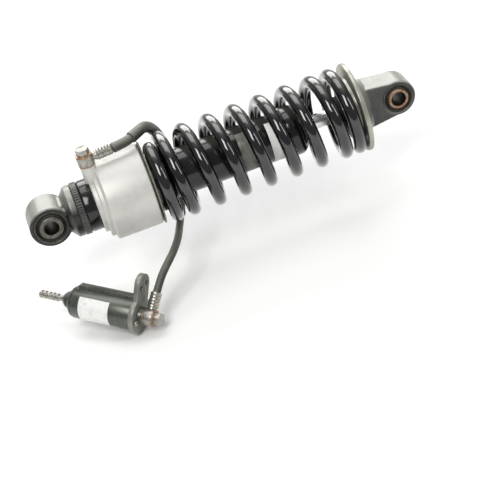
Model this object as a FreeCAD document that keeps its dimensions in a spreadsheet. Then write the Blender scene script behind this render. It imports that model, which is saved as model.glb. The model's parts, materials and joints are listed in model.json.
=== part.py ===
"""Rear shock absorber with a remote hydraulic preload adjuster.

Millimetres. The origin is the centre of the body eye's bore. +X runs along the damper to the rod eye,
+Y along both eye bores and +Z up. The damper is drawn fully extended, which is where its stroke starts.
"""
import FreeCAD, Part
import math
import os

import Sketcher
from FreeCAD import Placement, Rotation, Vector

document = FreeCAD.newDocument("RearShockAbsorber")

# ---------------------------------------------------------------------------------------------
# Driving dimensions: alias, value, meaning
# ---------------------------------------------------------------------------------------------
DIMENSIONS = [
    ("eye_spacing", 332.0, "body eye centre to rod eye centre, fully extended"),
    ("body_eye_radius", 19.2, "body eye barrel, outside"),
    ("body_eye_half", 15.5, "body eye barrel, half width"),
    ("body_bush_radius", 15.6, "body eye bore, where the bush shell is pressed in"),
    ("rod_eye_radius", 17.0, "rod eye barrel, outside"),
    ("rod_eye_half", 13.0, "rod eye barrel, half width"),
    ("rod_bush_radius", 14.2, "rod eye bore, where the bush shell is pressed in"),
    ("shell_wall", 1.2, "steel shell of each bush"),
    ("rubber_wall", 3.4, "rubber between shell and sleeve"),
    ("sleeve_bore", 6.4, "radius of the bore for the mounting bolt"),
    ("sleeve_proud", 1.6, "how far a bush sleeve stands out of its eye at each side"),
    ("rubber_inset", 0.8, "how far the rubber stays below the eye's faces"),
    ("eye_chamfer", 1.2, "chamfer on the eye barrels' rims"),
    ("cup_start", 19.0, "closed end of the damper body"),
    ("cup_floor", 22.0, "floor that the tube butts on"),
    ("cup_end", 27.0, "rim of the cup that holds the tube"),
    ("cup_radius", 24.0, "outside of the cup"),
    ("gas_plug_offset", 2.6, "gas filler plug, from the cup's floor"),
    ("gas_plug_radius", 2.0, "gas filler plug"),
    ("neck_half_height", 11.5, "body casting's neck at the eye"),
    ("neck_half_width", 10.0, "body casting's neck across"),
    ("tube_radius", 21.5, "damper tube, outside"),
    ("tube_bore", 18.0, "damper tube, inside"),
    ("tube_end", 232.0, "open end of the damper tube"),
    ("lock_ring_end", 33.0, "far face of the knurled lock ring"),
    ("lock_ring_radius", 24.4, "over the knurls"),
    ("knurl_depth", 0.8, "depth of a knurl"),
    ("knurl_half_width", 0.8, "half width of a knurl at the rim"),
    ("knurl_count", 60, "knurls round the rim"),
    ("stop_ring_end", 44.0, "far face of the ring that the preload cylinder rests on"),
    ("stop_ring_radius", 24.0, "outside of that ring"),
    ("stop_ring_round", 1.8, "rounding of that ring at the knurls"),
    ("collar_step", 48.0, "first step of the preload cylinder"),
    ("collar_shoulder", 53.0, "where the preload cylinder reaches its full size"),
    ("collar_end", 95.0, "open mouth of the preload cylinder"),
    ("collar_nose_radius", 28.0, "preload cylinder at its nose"),
    ("collar_step_radius", 33.5, "preload cylinder at its step"),
    ("collar_radius", 38.0, "preload cylinder, outside"),
    ("collar_bore", 34.0, "preload cylinder, inside"),
    ("collar_floor", 58.0, "floor of the preload chamber"),
    ("boss_offset", 48.5, "banjo boss, along the damper"),
    ("boss_side", -5.5, "banjo boss, across"),
    ("boss_radius", 7.0, "banjo boss"),
    ("boss_top", 41.5, "face of the banjo boss above the damper's axis"),
    ("boss_base", 25.5, "underside of the boss where it overhangs the nose"),
    ("port_floor", 27.0, "bottom of the port in the boss"),
    ("oil_way_height", 30.0, "drilling from the port to the preload chamber"),
    ("oil_way_radius", 1.5, "that drilling"),
    ("port_radius", 4.0, "port for a banjo bolt's shank"),
    ("bleed_angle", 58.0, "bleed screw's place round the shoulder, in degrees"),
    ("bleed_radius", 3.6, "corner radius of the bleed screw's hexagon"),
    ("bleed_height", 4.0, "bleed screw's hexagon"),
    ("nipple_radius", 1.9, "bleed screw's nipple"),
    ("washer_thickness", 1.2, "sealing washer"),
    ("washer_radius", 7.4, "sealing washer, outside"),
    ("banjo_height", 8.8, "banjo eye between its washers"),
    ("banjo_radius", 7.6, "banjo eye"),
    ("banjo_head_height", 5.4, "head of a banjo bolt"),
    ("banjo_head_radius", 6.2, "corner radius of a banjo bolt's hexagon"),
    ("upper_shank", 18.0, "upper banjo bolt under its head"),
    ("lower_shank", 22.0, "lower banjo bolt under its head"),
    ("banjo_neck_radius", 3.4, "neck from the banjo eye to the crimp"),
    ("crimp_radius", 5.0, "crimped ferrule"),
    ("crimp_length", 14.0, "crimped ferrule"),
    ("crimp_reach", 22.8, "lower banjo centre to the end of its crimp"),
    ("hose_radius", 3.5, "preload hose"),
    ("hose_sleeve_radius", 4.9, "protective sleeve on the hose"),
    ("hose_sleeve_bore", 3.8, "inside of the protective sleeve"),
    ("piston_start", 64.0, "wet face of the preload piston"),
    ("piston_flange", 95.3, "preload piston's flange, nearest the cylinder"),
    ("seat_start", 96.6, "preload piston's flange, spring side"),
    ("seat_end", 98.0, "spring side of the isolator"),
    ("seat_radius", 38.6, "isolator, outside"),
    ("flange_radius", 36.4, "preload piston's flange"),
    ("preload_bore", 21.57, "preload piston, sliding on the tube"),
    ("preload_outer", 33.93, "preload piston, sliding in the cylinder"),
    ("guide_end", 115.0, "end of the grooved spring guide"),
    ("guide_radius", 29.0, "spring guide over its ridges"),
    ("spring_mean_radius", 35.5, "coil spring, centre of the wire"),
    ("wire_radius", 6.0, "coil spring's wire"),
    ("spring_turns", 8.43, "coils in all"),
    ("closed_turns", 0.8, "closed turns at each end"),
    ("blend_turns", 0.5, "turns over which the pitch opens"),
    ("closed_pitch", 12.3, "pitch of the closed turns"),
    ("spring_phase", -266.6, "angle at which the wire starts, in degrees"),
    ("retainer_start", 292.0, "spring side of the spring retainer"),
    ("retainer_end", 297.0, "eye side of the spring retainer"),
    ("retainer_radius", 41.5, "spring retainer, outside"),
    ("hub_start", 291.0, "rod eye casting's hub, spring side"),
    ("hub_radius", 11.93, "hub that centres the retainer"),
    ("hub_fit", 12.0, "retainer's bore"),
    ("rod_flange_end", 302.0, "rod eye casting's flange, eye side"),
    ("rod_flange_radius", 27.0, "rod eye casting's flange"),
    ("rod_neck_half_height", 16.0, "rod eye casting's neck"),
    ("rod_neck_half_width", 13.0, "rod eye casting's neck across"),
    ("rod_radius", 7.0, "chromed damper rod"),
    ("rod_end", 314.0, "rod's threaded end in the casting"),
    ("rod_shoulder", 192.0, "where the rod steps down to its tenon"),
    ("tenon_radius", 5.0, "rod's tenon through the piston"),
    ("tenon_end", 162.0, "end of the tenon"),
    ("valve_start", 176.0, "damper piston, compression side"),
    ("valve_end", 190.0, "damper piston, rebound side"),
    ("valve_radius", 17.7, "damper piston, outside"),
    ("band_radius", 17.95, "piston band, sliding in the tube"),
    ("band_bore", 16.4, "floor of the groove for the piston band"),
    ("shim_thickness", 0.6, "one shim"),
    ("nut_start", 165.0, "piston nut, outer face"),
    ("nut_corner_radius", 9.8, "corner radius of the piston nut"),
    ("guide_bush_start", 212.0, "rod guide, wet face"),
    ("guide_bush_end", 221.0, "end of the rod guide's bush"),
    ("guide_bush_radius", 8.2, "rod guide's bush, outside"),
    ("guide_bush_bore", 7.05, "rod guide's bush, running on the rod"),
    ("rod_seal_end", 227.0, "outer face of the rod seal"),
    ("rod_seal_radius", 12.0, "rod seal, outside"),
    ("rod_seal_bore", 7.04, "rod seal's lip"),
    ("rod_guide_end", 229.0, "rod guide, outer face"),
    ("groove_start", 219.0, "rod guide's ring groove"),
    ("groove_end", 222.0, "rod guide's ring groove"),
    ("groove_floor", 16.0, "floor of the ring grooves in the tube"),
    ("circlip_end", 231.0, "outer face of the circlip"),
    ("cap_start", 226.0, "skirt of the end cap"),
    ("cap_radius", 23.2, "end cap, outside"),
    ("cap_shoulder", 236.0, "where the end cap starts to round off"),
    ("cap_end", 244.0, "outer face of the end cap"),
    ("cap_nose_radius", 13.0, "outer face of the end cap"),
    ("cap_bore", 7.6, "end cap round the rod"),
    ("wiper_end", 237.0, "outer face of the wiper"),
    ("wiper_radius", 11.0, "wiper, outside"),
    ("bumper_start", 271.0, "free end of the bump stop"),
    ("bumper_radius", 15.5, "bump stop, outside"),
    ("bumper_bore", 7.1, "bump stop round the rod"),
    ("topout_start", 192.6, "top-out bumper, piston side"),
    ("topout_end", 206.4, "top-out bumper, guide side, with room for the preload travel"),
    ("topout_radius", 12.5, "top-out bumper, outside"),
    ("floater_start", 70.0, "floating piston, gas side"),
    ("floater_end", 84.0, "floating piston, oil side"),
    ("floater_radius", 17.93, "floating piston, sliding in the tube"),
    ("ring_radius", 17.97, "rings sliding in the tube"),
    ("label_thickness", 0.2, "printed labels"),
    ("adjuster_offset", -3.3, "adjuster's cap face, along the damper"),
    ("adjuster_side", -46.0, "adjuster's cap face, across"),
    ("adjuster_drop", -60.7, "adjuster's axis below the damper's axis"),
    ("adjuster_yaw", -41.5, "adjuster's axis about the vertical, in degrees"),
    ("adjuster_dip", 8.65, "how far the adjuster's axis points down, in degrees"),
    ("adjuster_roll", -28.4, "lean of the bracket's tongue, in degrees"),
    ("housing_start", 2.0, "adjuster housing, from the cap face"),
    ("housing_end", 62.7, "adjuster housing, bracket side"),
    ("housing_radius", 14.6, "adjuster housing, outside"),
    ("housing_bore", 12.0, "adjuster housing, inside"),
    ("housing_floor", 52.0, "end of the adjuster's chamber"),
    ("spigot_radius", 7.8, "housing's spigot through the bracket"),
    ("spigot_length", 3.0, "how far the spigot stands out of the bracket"),
    ("rail_start", 7.0, "rail along the housing's back"),
    ("rail_height", 3.8, "rail above the housing"),
    ("rail_width", 7.0, "rail along the housing's back"),
    ("rail_lean", 15.0, "rail's place round the housing, in degrees"),
    ("bracket_end", 67.2, "outer face of the adjuster bracket"),
    ("bracket_radius", 16.4, "bracket round the housing"),
    ("tongue_half_width", 9.5, "bracket's tongue"),
    ("tongue_top", 37.3, "top of the tongue above the adjuster's axis"),
    ("bracket_hole_radius", 2.25, "bracket's mounting holes"),
    ("bracket_hole_low", 24.7, "lower mounting hole above the axis"),
    ("bracket_hole_low_side", -4.1, "lower mounting hole, across"),
    ("bracket_hole_high", 28.9, "upper mounting hole above the axis"),
    ("bracket_hole_high_side", 4.3, "upper mounting hole, across"),
    ("screw_spread", 10.4, "bracket screws, each side of the axis"),
    ("screw_drop", -5.0, "bracket screws above the axis"),
    ("screw_shank", 1.6, "bracket screws, radius"),
    ("screw_depth", 5.5, "how far a bracket screw enters the housing"),
    ("screw_head", 2.6, "bracket screws' heads, radius"),
    ("screw_head_height", 2.2, "bracket screws' heads"),
    ("plunger_start", 12.0, "adjuster piston, screw side"),
    ("plunger_end", 20.0, "adjuster piston, oil side"),
    ("plunger_radius", 11.93, "adjuster piston, sliding in the housing"),
    ("screw_radius", 3.0, "adjuster screw in the housing"),
    ("screw_end", 46.0, "end of the adjuster screw"),
    ("screw_clearance", 3.06, "bores round the adjuster screw"),
    ("stub_start", -36.0, "outer end of the ribbed stub"),
    ("stub_radius", 3.7, "ribbed stub over its ribs"),
    ("gland_start", -10.0, "outer face of the gland nut"),
    ("gland_radius", 8.4, "corner radius of the gland nut"),
    ("boss_ring_start", -3.5, "adjuster cap's boss"),
    ("boss_ring_radius", 10.4, "adjuster cap's boss"),
]

# Hose route, from the banjo's crimp over the preload cylinder, down behind the spring and under it,
# then forwards to the adjuster's crimp.
HOSE_ROUTE = [
    (73.6, -2.8, 47.1),
    (86.6, -1.4, 47.1),
    (98.8, 5.2, 48.6),
    (108.2, 19.0, 45.6),
    (116.0, 36.0, 31.5),
    (121.8, 48.5, 10.5),
    (125.0, 50.5, -15.0),
    (122.0, 38.5, -37.5),
    (115.0, 16.5, -50.0),
    (108.2, -8.5, -48.5),
    (101.4, -35.0, -44.5),
    (92.0, -57.2, -42.4),
    (82.5, -69.6, -44.3),
    (73.6, -77.4, -49.7),
    (66.1, -84.0, -57.8),
]
ARC_SHARE = 0.45            # share of the shorter run that each arc takes
SLEEVED_POINTS = (1, 6)     # the sleeve runs from the arc at the first of these points to the second


def make_sheet():
    made = document.addObject("Spreadsheet::Sheet", "Sizes")
    for row, (alias, value, meaning) in enumerate(DIMENSIONS, start=1):
        made.set(f"A{row}", meaning)
        made.set(f"B{row}", str(value))
        made.setAlias(f"B{row}", alias)
    return made


sheet = make_sheet()
document.recompute()


def size(alias):
    """The value of one cell of the sheet."""
    return float(sheet.get(alias))


def at(alias, plus=0.0):
    """A coordinate bound to the sheet: its value and its expression."""
    return size(alias) + plus, f"Sizes.{alias} + {plus}"


def minus(alias, less=0.0):
    """The mirrored coordinate of at(alias, less)."""
    return -size(alias) - less, f"-Sizes.{alias} - {less}"


ON_AXIS = (0.0, None)


# ---------------------------------------------------------------------------------------------
# Sketches, bodies and primitives
# ---------------------------------------------------------------------------------------------
def make_body(label):
    body = document.addObject("PartDesign::Body", label)
    body.Label = label
    return body


def make_sketch(body, plane):
    sketch = body.newObject("Sketcher::SketchObject", f"{body.Name}_sketch")
    role = [feature for feature in body.Origin.OriginFeatures if feature.Role == plane]
    sketch.AttachmentSupport = [(role[0], "")]
    sketch.MapMode = "FlatFace"
    return sketch


def pin_point(sketch, edge, end, point):
    """Places one end of an edge, each coordinate bound to the sheet or held on an axis."""
    for kind, axis, (value, expression) in (("DistanceX", -2, point[0]), ("DistanceY", -1, point[1])):
        if abs(value) < 1e-9:
            sketch.addConstraint(Sketcher.Constraint("PointOnObject", edge, end, axis))
            continue
        index = sketch.addConstraint(Sketcher.Constraint(kind, -1, 1, edge, end, value))
        if expression:
            sketch.setExpression(f"Constraints[{index}]", expression)


def add_outline(sketch, points):
    """A closed outline of straight edges through points, each a pair of coordinates."""
    count = len(points)
    vectors = [Vector(x[0], y[0], 0) for x, y in points]
    for index in range(count):
        sketch.addGeometry(Part.LineSegment(vectors[index], vectors[(index + 1) % count]), False)
    for index in range(count):
        sketch.addConstraint(Sketcher.Constraint("Coincident", index, 2, (index + 1) % count, 1))
    for index, point in enumerate(points):
        pin_point(sketch, index, 1, point)


def add_circle(sketch, centre, radius):
    """A circle whose centre and radius are bound to the sheet."""
    edge = sketch.addGeometry(Part.Circle(Vector(centre[0][0], centre[1][0], 0), Vector(0, 0, 1), radius[0]))
    pin_point(sketch, edge, 3, centre)
    index = sketch.addConstraint(Sketcher.Constraint("Radius", edge, radius[0]))
    sketch.setExpression(f"Constraints[{index}]", radius[1])


def revolve(body, points, axis="H_Axis", cut=False, angle=360.0):
    """Turns an outline about one of its sketch's axes and adds it to the body or cuts it away."""
    sketch = make_sketch(body, "XY_Plane")
    add_outline(sketch, points)
    kind = "PartDesign::Groove" if cut else "PartDesign::Revolution"
    feature = body.newObject(kind, f"{body.Name}_turned")
    feature.Profile = sketch
    feature.ReferenceAxis = (sketch, [axis])
    feature.Angle = angle
    return feature


def pad(body, sketch, length, midplane=False, cut=False, backwards=False):
    """Pads a sketch, or pockets it, by a length from the sheet."""
    kind = "PartDesign::Pocket" if cut else "PartDesign::Pad"
    feature = body.newObject(kind, f"{body.Name}_pad")
    feature.Profile = sketch
    feature.Length = length[0]
    feature.setExpression("Length", length[1])
    feature.Midplane = midplane
    feature.Reversed = backwards
    return feature


def turned(label, points, place=None, angle=360.0):
    """A sub-part turned about its own X axis from (x, radius) points."""
    body = make_body(label)
    revolve(body, points, angle=angle)
    if place:
        body.Placement = place
    return body


def box_outline(start, end, inner, outer):
    """Four corners of a ring's section."""
    return [(start, inner), (end, inner), (end, outer), (start, outer)]


def ring(label, start, end, inner, outer, place=None):
    """A plain ring about X between two faces."""
    return turned(label, box_outline(start, end, inner, outer), place)


def cylinder(name, radius, length, place):
    """A Part::Cylinder along its placement's Z axis."""
    made = document.addObject("Part::Cylinder", name)
    made.setExpression("Radius", radius[1])
    made.setExpression("Height", length[1])
    made.Placement = place
    return made


def cut_from(label, base, tools):
    """base less every tool."""
    if len(tools) > 1:
        tool = document.addObject("Part::MultiFuse", f"{label}_tools")
        tool.Shapes = tools
    else:
        tool = tools[0]
    made = document.addObject("Part::Cut", label)
    made.Base = base
    made.Tool = tool
    made.Label = label
    return made


def hexagon(name, corner, height, place):
    """A Part::Prism with six sides, along its placement's Z axis."""
    made = document.addObject("Part::Prism", name)
    made.Polygon = 6
    made.setExpression("Circumradius", corner[1])
    made.setExpression("Height", height[1])
    made.Placement = place
    return made


def group(label, members):
    """Several identical or stacked pieces in one node."""
    made = document.addObject("Part::Compound", label)
    made.Links = members
    made.Label = label
    return made


def fuse(label, members):
    made = document.addObject("Part::MultiFuse", label)
    made.Shapes = members
    made.Label = label
    return made


# ---------------------------------------------------------------------------------------------
# Places
# ---------------------------------------------------------------------------------------------
ALONG_X = Rotation(Vector(0, 0, 1), Vector(1, 0, 0))
ALONG_Y = Rotation(Vector(0, 0, 1), 90)


def adjuster_place(x=0.0, y=0.0, z=0.0, turn=Rotation()):
    """A point in the adjuster's own frame: x along its axis from the cap face, z up the bracket's tongue."""
    yaw = Rotation(Vector(0, 0, 1), size("adjuster_yaw"))
    dip = Rotation(Vector(0, 1, 0), size("adjuster_dip"))
    roll = Rotation(Vector(1, 0, 0), size("adjuster_roll"))
    frame = yaw * dip * roll
    corner = Vector(size("adjuster_offset"), size("adjuster_side"), size("adjuster_drop"))
    return Placement(corner + frame.multVec(Vector(x, y, z)), frame * turn)


def upper_banjo_centre():
    middle = size("boss_top") + size("washer_thickness") + size("banjo_height") / 2
    return Vector(size("boss_offset"), size("boss_side"), middle)


def lower_banjo_centre():
    end = Vector(*HOSE_ROUTE[-1])
    inwards = (end - Vector(*HOSE_ROUTE[-2])).normalize()
    return end + inwards * size("crimp_reach")


# ---------------------------------------------------------------------------------------------
# Eyes and bushes
# ---------------------------------------------------------------------------------------------
def barrel_outline(radius, half):
    """Half section of an eye barrel about Y, with chamfered rims."""
    bevel = size("eye_chamfer")
    return [
        (ON_AXIS, minus(half)),
        (at(radius, -bevel), minus(half)),
        (at(radius), minus(half, -bevel)),
        (at(radius), at(half, -bevel)),
        (at(radius, -bevel), at(half)),
        (ON_AXIS, at(half)),
    ]


def bore_outline(radius, half):
    """Half section of a bore about Y that runs past both faces."""
    return [
        (ON_AXIS, minus(half, 1)),
        (at(radius), minus(half, 1)),
        (at(radius), at(half, 1)),
        (ON_AXIS, at(half, 1)),
    ]


def make_body_eye_casting():
    body = make_body("body_eye_casting")
    revolve(body, barrel_outline("body_eye_radius", "body_eye_half"), axis="V_Axis")
    web = make_sketch(body, "XZ_Plane")
    add_outline(web, [
        (ON_AXIS, minus("neck_half_height")),
        (at("cup_start", 1), minus("neck_half_height", 4)),
        (at("cup_start", 1), at("neck_half_height", 4)),
        (ON_AXIS, at("neck_half_height")),
    ])
    pad(body, web, (2 * size("neck_half_width"), "2 * Sizes.neck_half_width"), midplane=True)
    revolve(body, [
        (at("cup_start", -3), ON_AXIS),
        (at("cup_start", -3), at("cup_radius", -6)),
        (at("cup_start", 2), at("cup_radius")),
        (at("cup_end", -0.6), at("cup_radius")),
        (at("cup_end"), at("cup_radius", -0.6)),
        (at("cup_end"), ON_AXIS),
    ])
    revolve(body, [
        (at("cup_floor"), ON_AXIS),
        (at("cup_floor"), at("tube_radius")),
        (at("cup_end", 1), at("tube_radius")),
        (at("cup_end", 1), ON_AXIS),
    ], cut=True)
    revolve(body, bore_outline("body_bush_radius", "body_eye_half"), axis="V_Axis", cut=True)
    drill_gas_port(body)
    return body


def make_rod_eye_casting():
    body = make_body("rod_eye_casting")
    barrel = barrel_outline("rod_eye_radius", "rod_eye_half")
    shaft = size("eye_spacing")
    revolve(body, barrel, axis="V_Axis")
    web = make_sketch(body, "XZ_Plane")
    inner = (size("rod_flange_end") - 1 - shaft, "Sizes.rod_flange_end - 1 - Sizes.eye_spacing")
    add_outline(web, [
        (ON_AXIS, minus("rod_neck_half_height")),
        (inner, minus("rod_neck_half_height", 4)),
        (inner, at("rod_neck_half_height", 4)),
        (ON_AXIS, at("rod_neck_half_height")),
    ])
    pad(body, web, (2 * size("rod_neck_half_width"), "2 * Sizes.rod_neck_half_width"), midplane=True)

    def from_eye(alias, plus=0.0):
        return size(alias) + plus - shaft, f"Sizes.{alias} + {plus} - Sizes.eye_spacing"

    revolve(body, [
        (from_eye("hub_start"), ON_AXIS),
        (from_eye("hub_start"), at("hub_radius")),
        (from_eye("retainer_end"), at("hub_radius")),
        (from_eye("retainer_end"), at("rod_flange_radius")),
        (from_eye("rod_flange_end", -2), at("rod_flange_radius")),
        (from_eye("rod_flange_end", 3), at("rod_flange_radius", -6)),
        (from_eye("rod_flange_end", 3), ON_AXIS),
    ])
    revolve(body, [
        (from_eye("hub_start", -1), ON_AXIS),
        (from_eye("hub_start", -1), at("rod_radius")),
        (from_eye("rod_end"), at("rod_radius")),
        (from_eye("rod_end"), ON_AXIS),
    ], cut=True)
    revolve(body, bore_outline("rod_bush_radius", "rod_eye_half"), axis="V_Axis", cut=True)
    body.Placement = Placement(Vector(shaft, 0, 0), Rotation())
    return body


def make_bush(prefix, bore, half, centre):
    """Pressed-in steel shell, bonded rubber and inner sleeve of one eye."""
    place = Placement(Vector(centre, 0, 0), ALONG_Y)
    shell = size("shell_wall")
    rubber = size("rubber_wall")
    inset = size("rubber_inset")
    proud = size("sleeve_proud")
    ring(f"{prefix}_bush_shell", minus(half), at(half), at(bore, -shell), at(bore), place)
    waist = at(bore, -shell - rubber / 2)
    turned(f"{prefix}_bush_rubber", [
        (minus(half, -inset), at(bore, -shell - rubber)),
        (at(half, -inset), at(bore, -shell - rubber)),
        (at(half, -inset - 1.4), waist),
        (at(half, -inset), at(bore, -shell)),
        (minus(half, -inset), at(bore, -shell)),
        (minus(half, -inset - 1.4), waist),
    ], place)
    bevel = 0.8
    turned(f"{prefix}_bush_sleeve", [
        (minus(half, proud), at("sleeve_bore", bevel)),
        (minus(half, proud - bevel), at("sleeve_bore")),
        (at(half, proud - bevel), at("sleeve_bore")),
        (at(half, proud), at("sleeve_bore", bevel)),
        (at(half, proud), at(bore, -shell - rubber - 0.06 - bevel)),
        (at(half, proud - bevel), at(bore, -shell - rubber - 0.06)),
        (minus(half, proud - bevel), at(bore, -shell - rubber - 0.06)),
        (minus(half, proud), at(bore, -shell - rubber - 0.06 - bevel)),
    ], place)


# ---------------------------------------------------------------------------------------------
# Damper body
# ---------------------------------------------------------------------------------------------
def make_damper_tube():
    body = make_body("damper_tube")
    revolve(body, box_outline(at("cup_floor"), at("tube_end"), at("tube_bore"), at("tube_radius")))
    drill_gas_port(body)
    return body


def drill_gas_port(body):
    """Radial hole for the gas filler plug, through the cup or the tube."""
    port = make_sketch(body, "XZ_Plane")
    centre = (size("cup_floor") + size("gas_plug_offset"), "Sizes.cup_floor + Sizes.gas_plug_offset")
    add_circle(port, (centre, ON_AXIS), at("gas_plug_radius"))
    pad(body, port, at("cup_radius", 1), cut=True)


def make_gas_fill_plug():
    """Screw plug in the side of the cup, on the gas side of the floating piston."""
    place = Placement(Vector(size("cup_floor") + size("gas_plug_offset"), 0, 0), ALONG_Y)
    inner = at("tube_bore", 0.4)
    outer = at("cup_radius", 0.8)
    return turned("gas_fill_plug", [
        (inner, ON_AXIS),
        (outer, ON_AXIS),
        (outer, at("gas_plug_radius")),
        (inner, at("gas_plug_radius")),
    ], place)


def make_knurled_lock_ring():
    """Lock ring with axial knurls cut round its rim."""
    body = make_body("knurled_lock_ring")
    revolve(body, [
        (at("cup_end"), at("tube_radius")),
        (at("lock_ring_end"), at("tube_radius")),
        (at("lock_ring_end"), at("lock_ring_radius", -0.6)),
        (at("lock_ring_end", -0.6), at("lock_ring_radius")),
        (at("cup_end", 0.6), at("lock_ring_radius")),
        (at("cup_end"), at("lock_ring_radius", -0.6)),
    ])
    knurl = make_sketch(body, "YZ_Plane")
    depth = size("knurl_depth")
    add_outline(knurl, [
        (at("lock_ring_radius", 0.4), minus("knurl_half_width")),
        (at("lock_ring_radius", -depth), ON_AXIS),
        (at("lock_ring_radius", 0.4), at("knurl_half_width")),
    ])
    notch = pad(body, knurl, (size("lock_ring_end") + 1, "Sizes.lock_ring_end + 1"), cut=True, backwards=True)
    document.recompute()
    pattern = body.newObject("PartDesign::PolarPattern", "knurls")
    pattern.Originals = [notch]
    axis = [feature for feature in body.Origin.OriginFeatures if feature.Role == "X_Axis"]
    pattern.Axis = (axis[0], [""])
    pattern.Angle = 360
    pattern.Occurrences = int(size("knurl_count"))
    body.Tip = pattern
    return body


def make_damper_body():
    make_body_eye_casting()
    make_damper_tube()
    make_gas_fill_plug()
    make_knurled_lock_ring()
    bevel = size("stop_ring_round")
    turned("preload_stop_ring", [
        (at("lock_ring_end"), at("tube_radius")),
        (at("stop_ring_end"), at("tube_radius")),
        (at("stop_ring_end"), at("stop_ring_radius")),
        (at("lock_ring_end", bevel), at("stop_ring_radius")),
        (at("lock_ring_end", 0.3 * bevel), at("stop_ring_radius", -0.3 * bevel)),
        (at("lock_ring_end"), at("stop_ring_radius", -bevel)),
    ])


def make_head():
    """Rod guide, bush, seals, circlip and cap that close the tube round the rod."""
    turned("rod_guide", [
        (at("guide_bush_start"), at("guide_bush_radius")),
        (at("guide_bush_end"), at("guide_bush_radius")),
        (at("guide_bush_end"), at("rod_seal_radius")),
        (at("rod_guide_end"), at("rod_seal_radius")),
        (at("rod_guide_end"), at("tube_bore")),
        (at("groove_end"), at("tube_bore")),
        (at("groove_end"), at("groove_floor")),
        (at("groove_start"), at("groove_floor")),
        (at("groove_start"), at("tube_bore")),
        (at("guide_bush_start"), at("tube_bore")),
    ])
    ring("rod_guide_bush", at("guide_bush_start"), at("guide_bush_end"),
         at("guide_bush_bore"), at("guide_bush_radius"))
    ring("rod_guide_ring", at("groove_start"), at("groove_end"), at("groove_floor"), at("tube_bore"))
    turned("rod_seal", [
        (at("guide_bush_end"), at("rod_seal_bore")),
        (at("guide_bush_end", 1.5), at("rod_seal_bore")),
        (at("guide_bush_end", 2.5), at("rod_seal_bore", 1.2)),
        (at("rod_seal_end"), at("rod_seal_bore", 1.2)),
        (at("rod_seal_end"), at("rod_seal_radius")),
        (at("guide_bush_end"), at("rod_seal_radius")),
    ])
    ring("rod_guide_circlip", at("rod_guide_end"), at("circlip_end"), at("tube_bore", -3), at("tube_bore"))
    turned("tube_end_cap", [
        (at("cap_start"), at("tube_radius")),
        (at("tube_end"), at("tube_radius")),
        (at("tube_end"), at("wiper_radius")),
        (at("wiper_end"), at("wiper_radius")),
        (at("wiper_end"), at("cap_bore")),
        (at("cap_end"), at("cap_bore")),
        (at("cap_end"), at("cap_nose_radius")),
        (at("cap_end", -1.2), at("cap_nose_radius", 3.4)),
        (at("cap_end", -3.2), at("cap_radius", -3.6)),
        (at("cap_end", -5.6), at("cap_radius", -1.2)),
        (at("cap_shoulder"), at("cap_radius")),
        (at("cap_start"), at("cap_radius")),
    ])
    turned("rod_wiper", [
        (at("tube_end"), at("guide_bush_bore", 1.5)),
        (at("wiper_end", -1.5), at("guide_bush_bore", 1.5)),
        (at("wiper_end"), at("guide_bush_bore")),
        (at("wiper_end"), at("wiper_radius")),
        (at("tube_end"), at("wiper_radius")),
    ])


def make_label(label, start, end, radius, first_angle, sweep, place=None):
    """A thin label wrapped part of the way round a cylinder about X."""
    thickness = size("label_thickness")
    turn = Placement(Vector(), Rotation(Vector(1, 0, 0), first_angle))
    outline = box_outline(start, end, at(radius), at(radius, thickness))
    return turned(label, outline, (place or Placement()) * turn, angle=sweep)


# ---------------------------------------------------------------------------------------------
# Preload cylinder and spring seat
# ---------------------------------------------------------------------------------------------
def make_preload_cylinder():
    body = make_body("preload_cylinder")
    boss = make_sketch(body, "XY_Plane")
    boss.AttachmentOffset = Placement(Vector(0, 0, size("boss_base")), Rotation())
    add_circle(boss, (at("boss_offset"), at("boss_side")), at("boss_radius"))
    pad(body, boss, (size("boss_top") - size("boss_base"), "Sizes.boss_top - Sizes.boss_base"))
    revolve(body, [
        (at("stop_ring_end"), ON_AXIS),
        (at("stop_ring_end"), at("collar_nose_radius", -1)),
        (at("stop_ring_end", 1), at("collar_nose_radius")),
        (at("collar_step"), at("collar_nose_radius")),
        (at("collar_step"), at("collar_step_radius", -1)),
        (at("collar_step", 1), at("collar_step_radius")),
        (at("collar_shoulder", -1.4), at("collar_step_radius")),
        (at("collar_shoulder", -0.6), at("collar_radius", -1.6)),
        (at("collar_shoulder", 1), at("collar_radius")),
        (at("collar_end", -1), at("collar_radius")),
        (at("collar_end"), at("collar_radius", -1)),
        (at("collar_end"), ON_AXIS),
    ])
    revolve(body, [
        (at("stop_ring_end", -3), ON_AXIS),
        (at("stop_ring_end", -3), at("tube_radius")),
        (at("collar_step", 2), at("tube_radius")),
        (at("collar_step", 2), at("tube_radius", 2)),
        (at("collar_step", 5), at("tube_radius", 2)),
        (at("collar_step", 5), at("tube_radius")),
        (at("collar_floor"), at("tube_radius")),
        (at("collar_floor"), at("collar_bore")),
        (at("collar_end", 1), at("collar_bore")),
        (at("collar_end", 1), ON_AXIS),
    ], cut=True)
    port = make_sketch(body, "XY_Plane")
    port.AttachmentOffset = Placement(Vector(0, 0, size("port_floor")), Rotation())
    add_circle(port, (at("boss_offset"), at("boss_side")), at("port_radius"))
    pad(body, port, at("boss_top"), cut=True, backwards=True)
    oil_way = make_sketch(body, "YZ_Plane")
    oil_way.AttachmentOffset = Placement(Vector(0, 0, size("boss_offset")), Rotation())
    add_circle(oil_way, (at("boss_side"), at("oil_way_height")), at("oil_way_radius"))
    reach = (size("collar_floor") + 1 - size("boss_offset"), "Sizes.collar_floor + 1 - Sizes.boss_offset")
    pad(body, oil_way, reach, cut=True, backwards=True)
    return body


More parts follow.
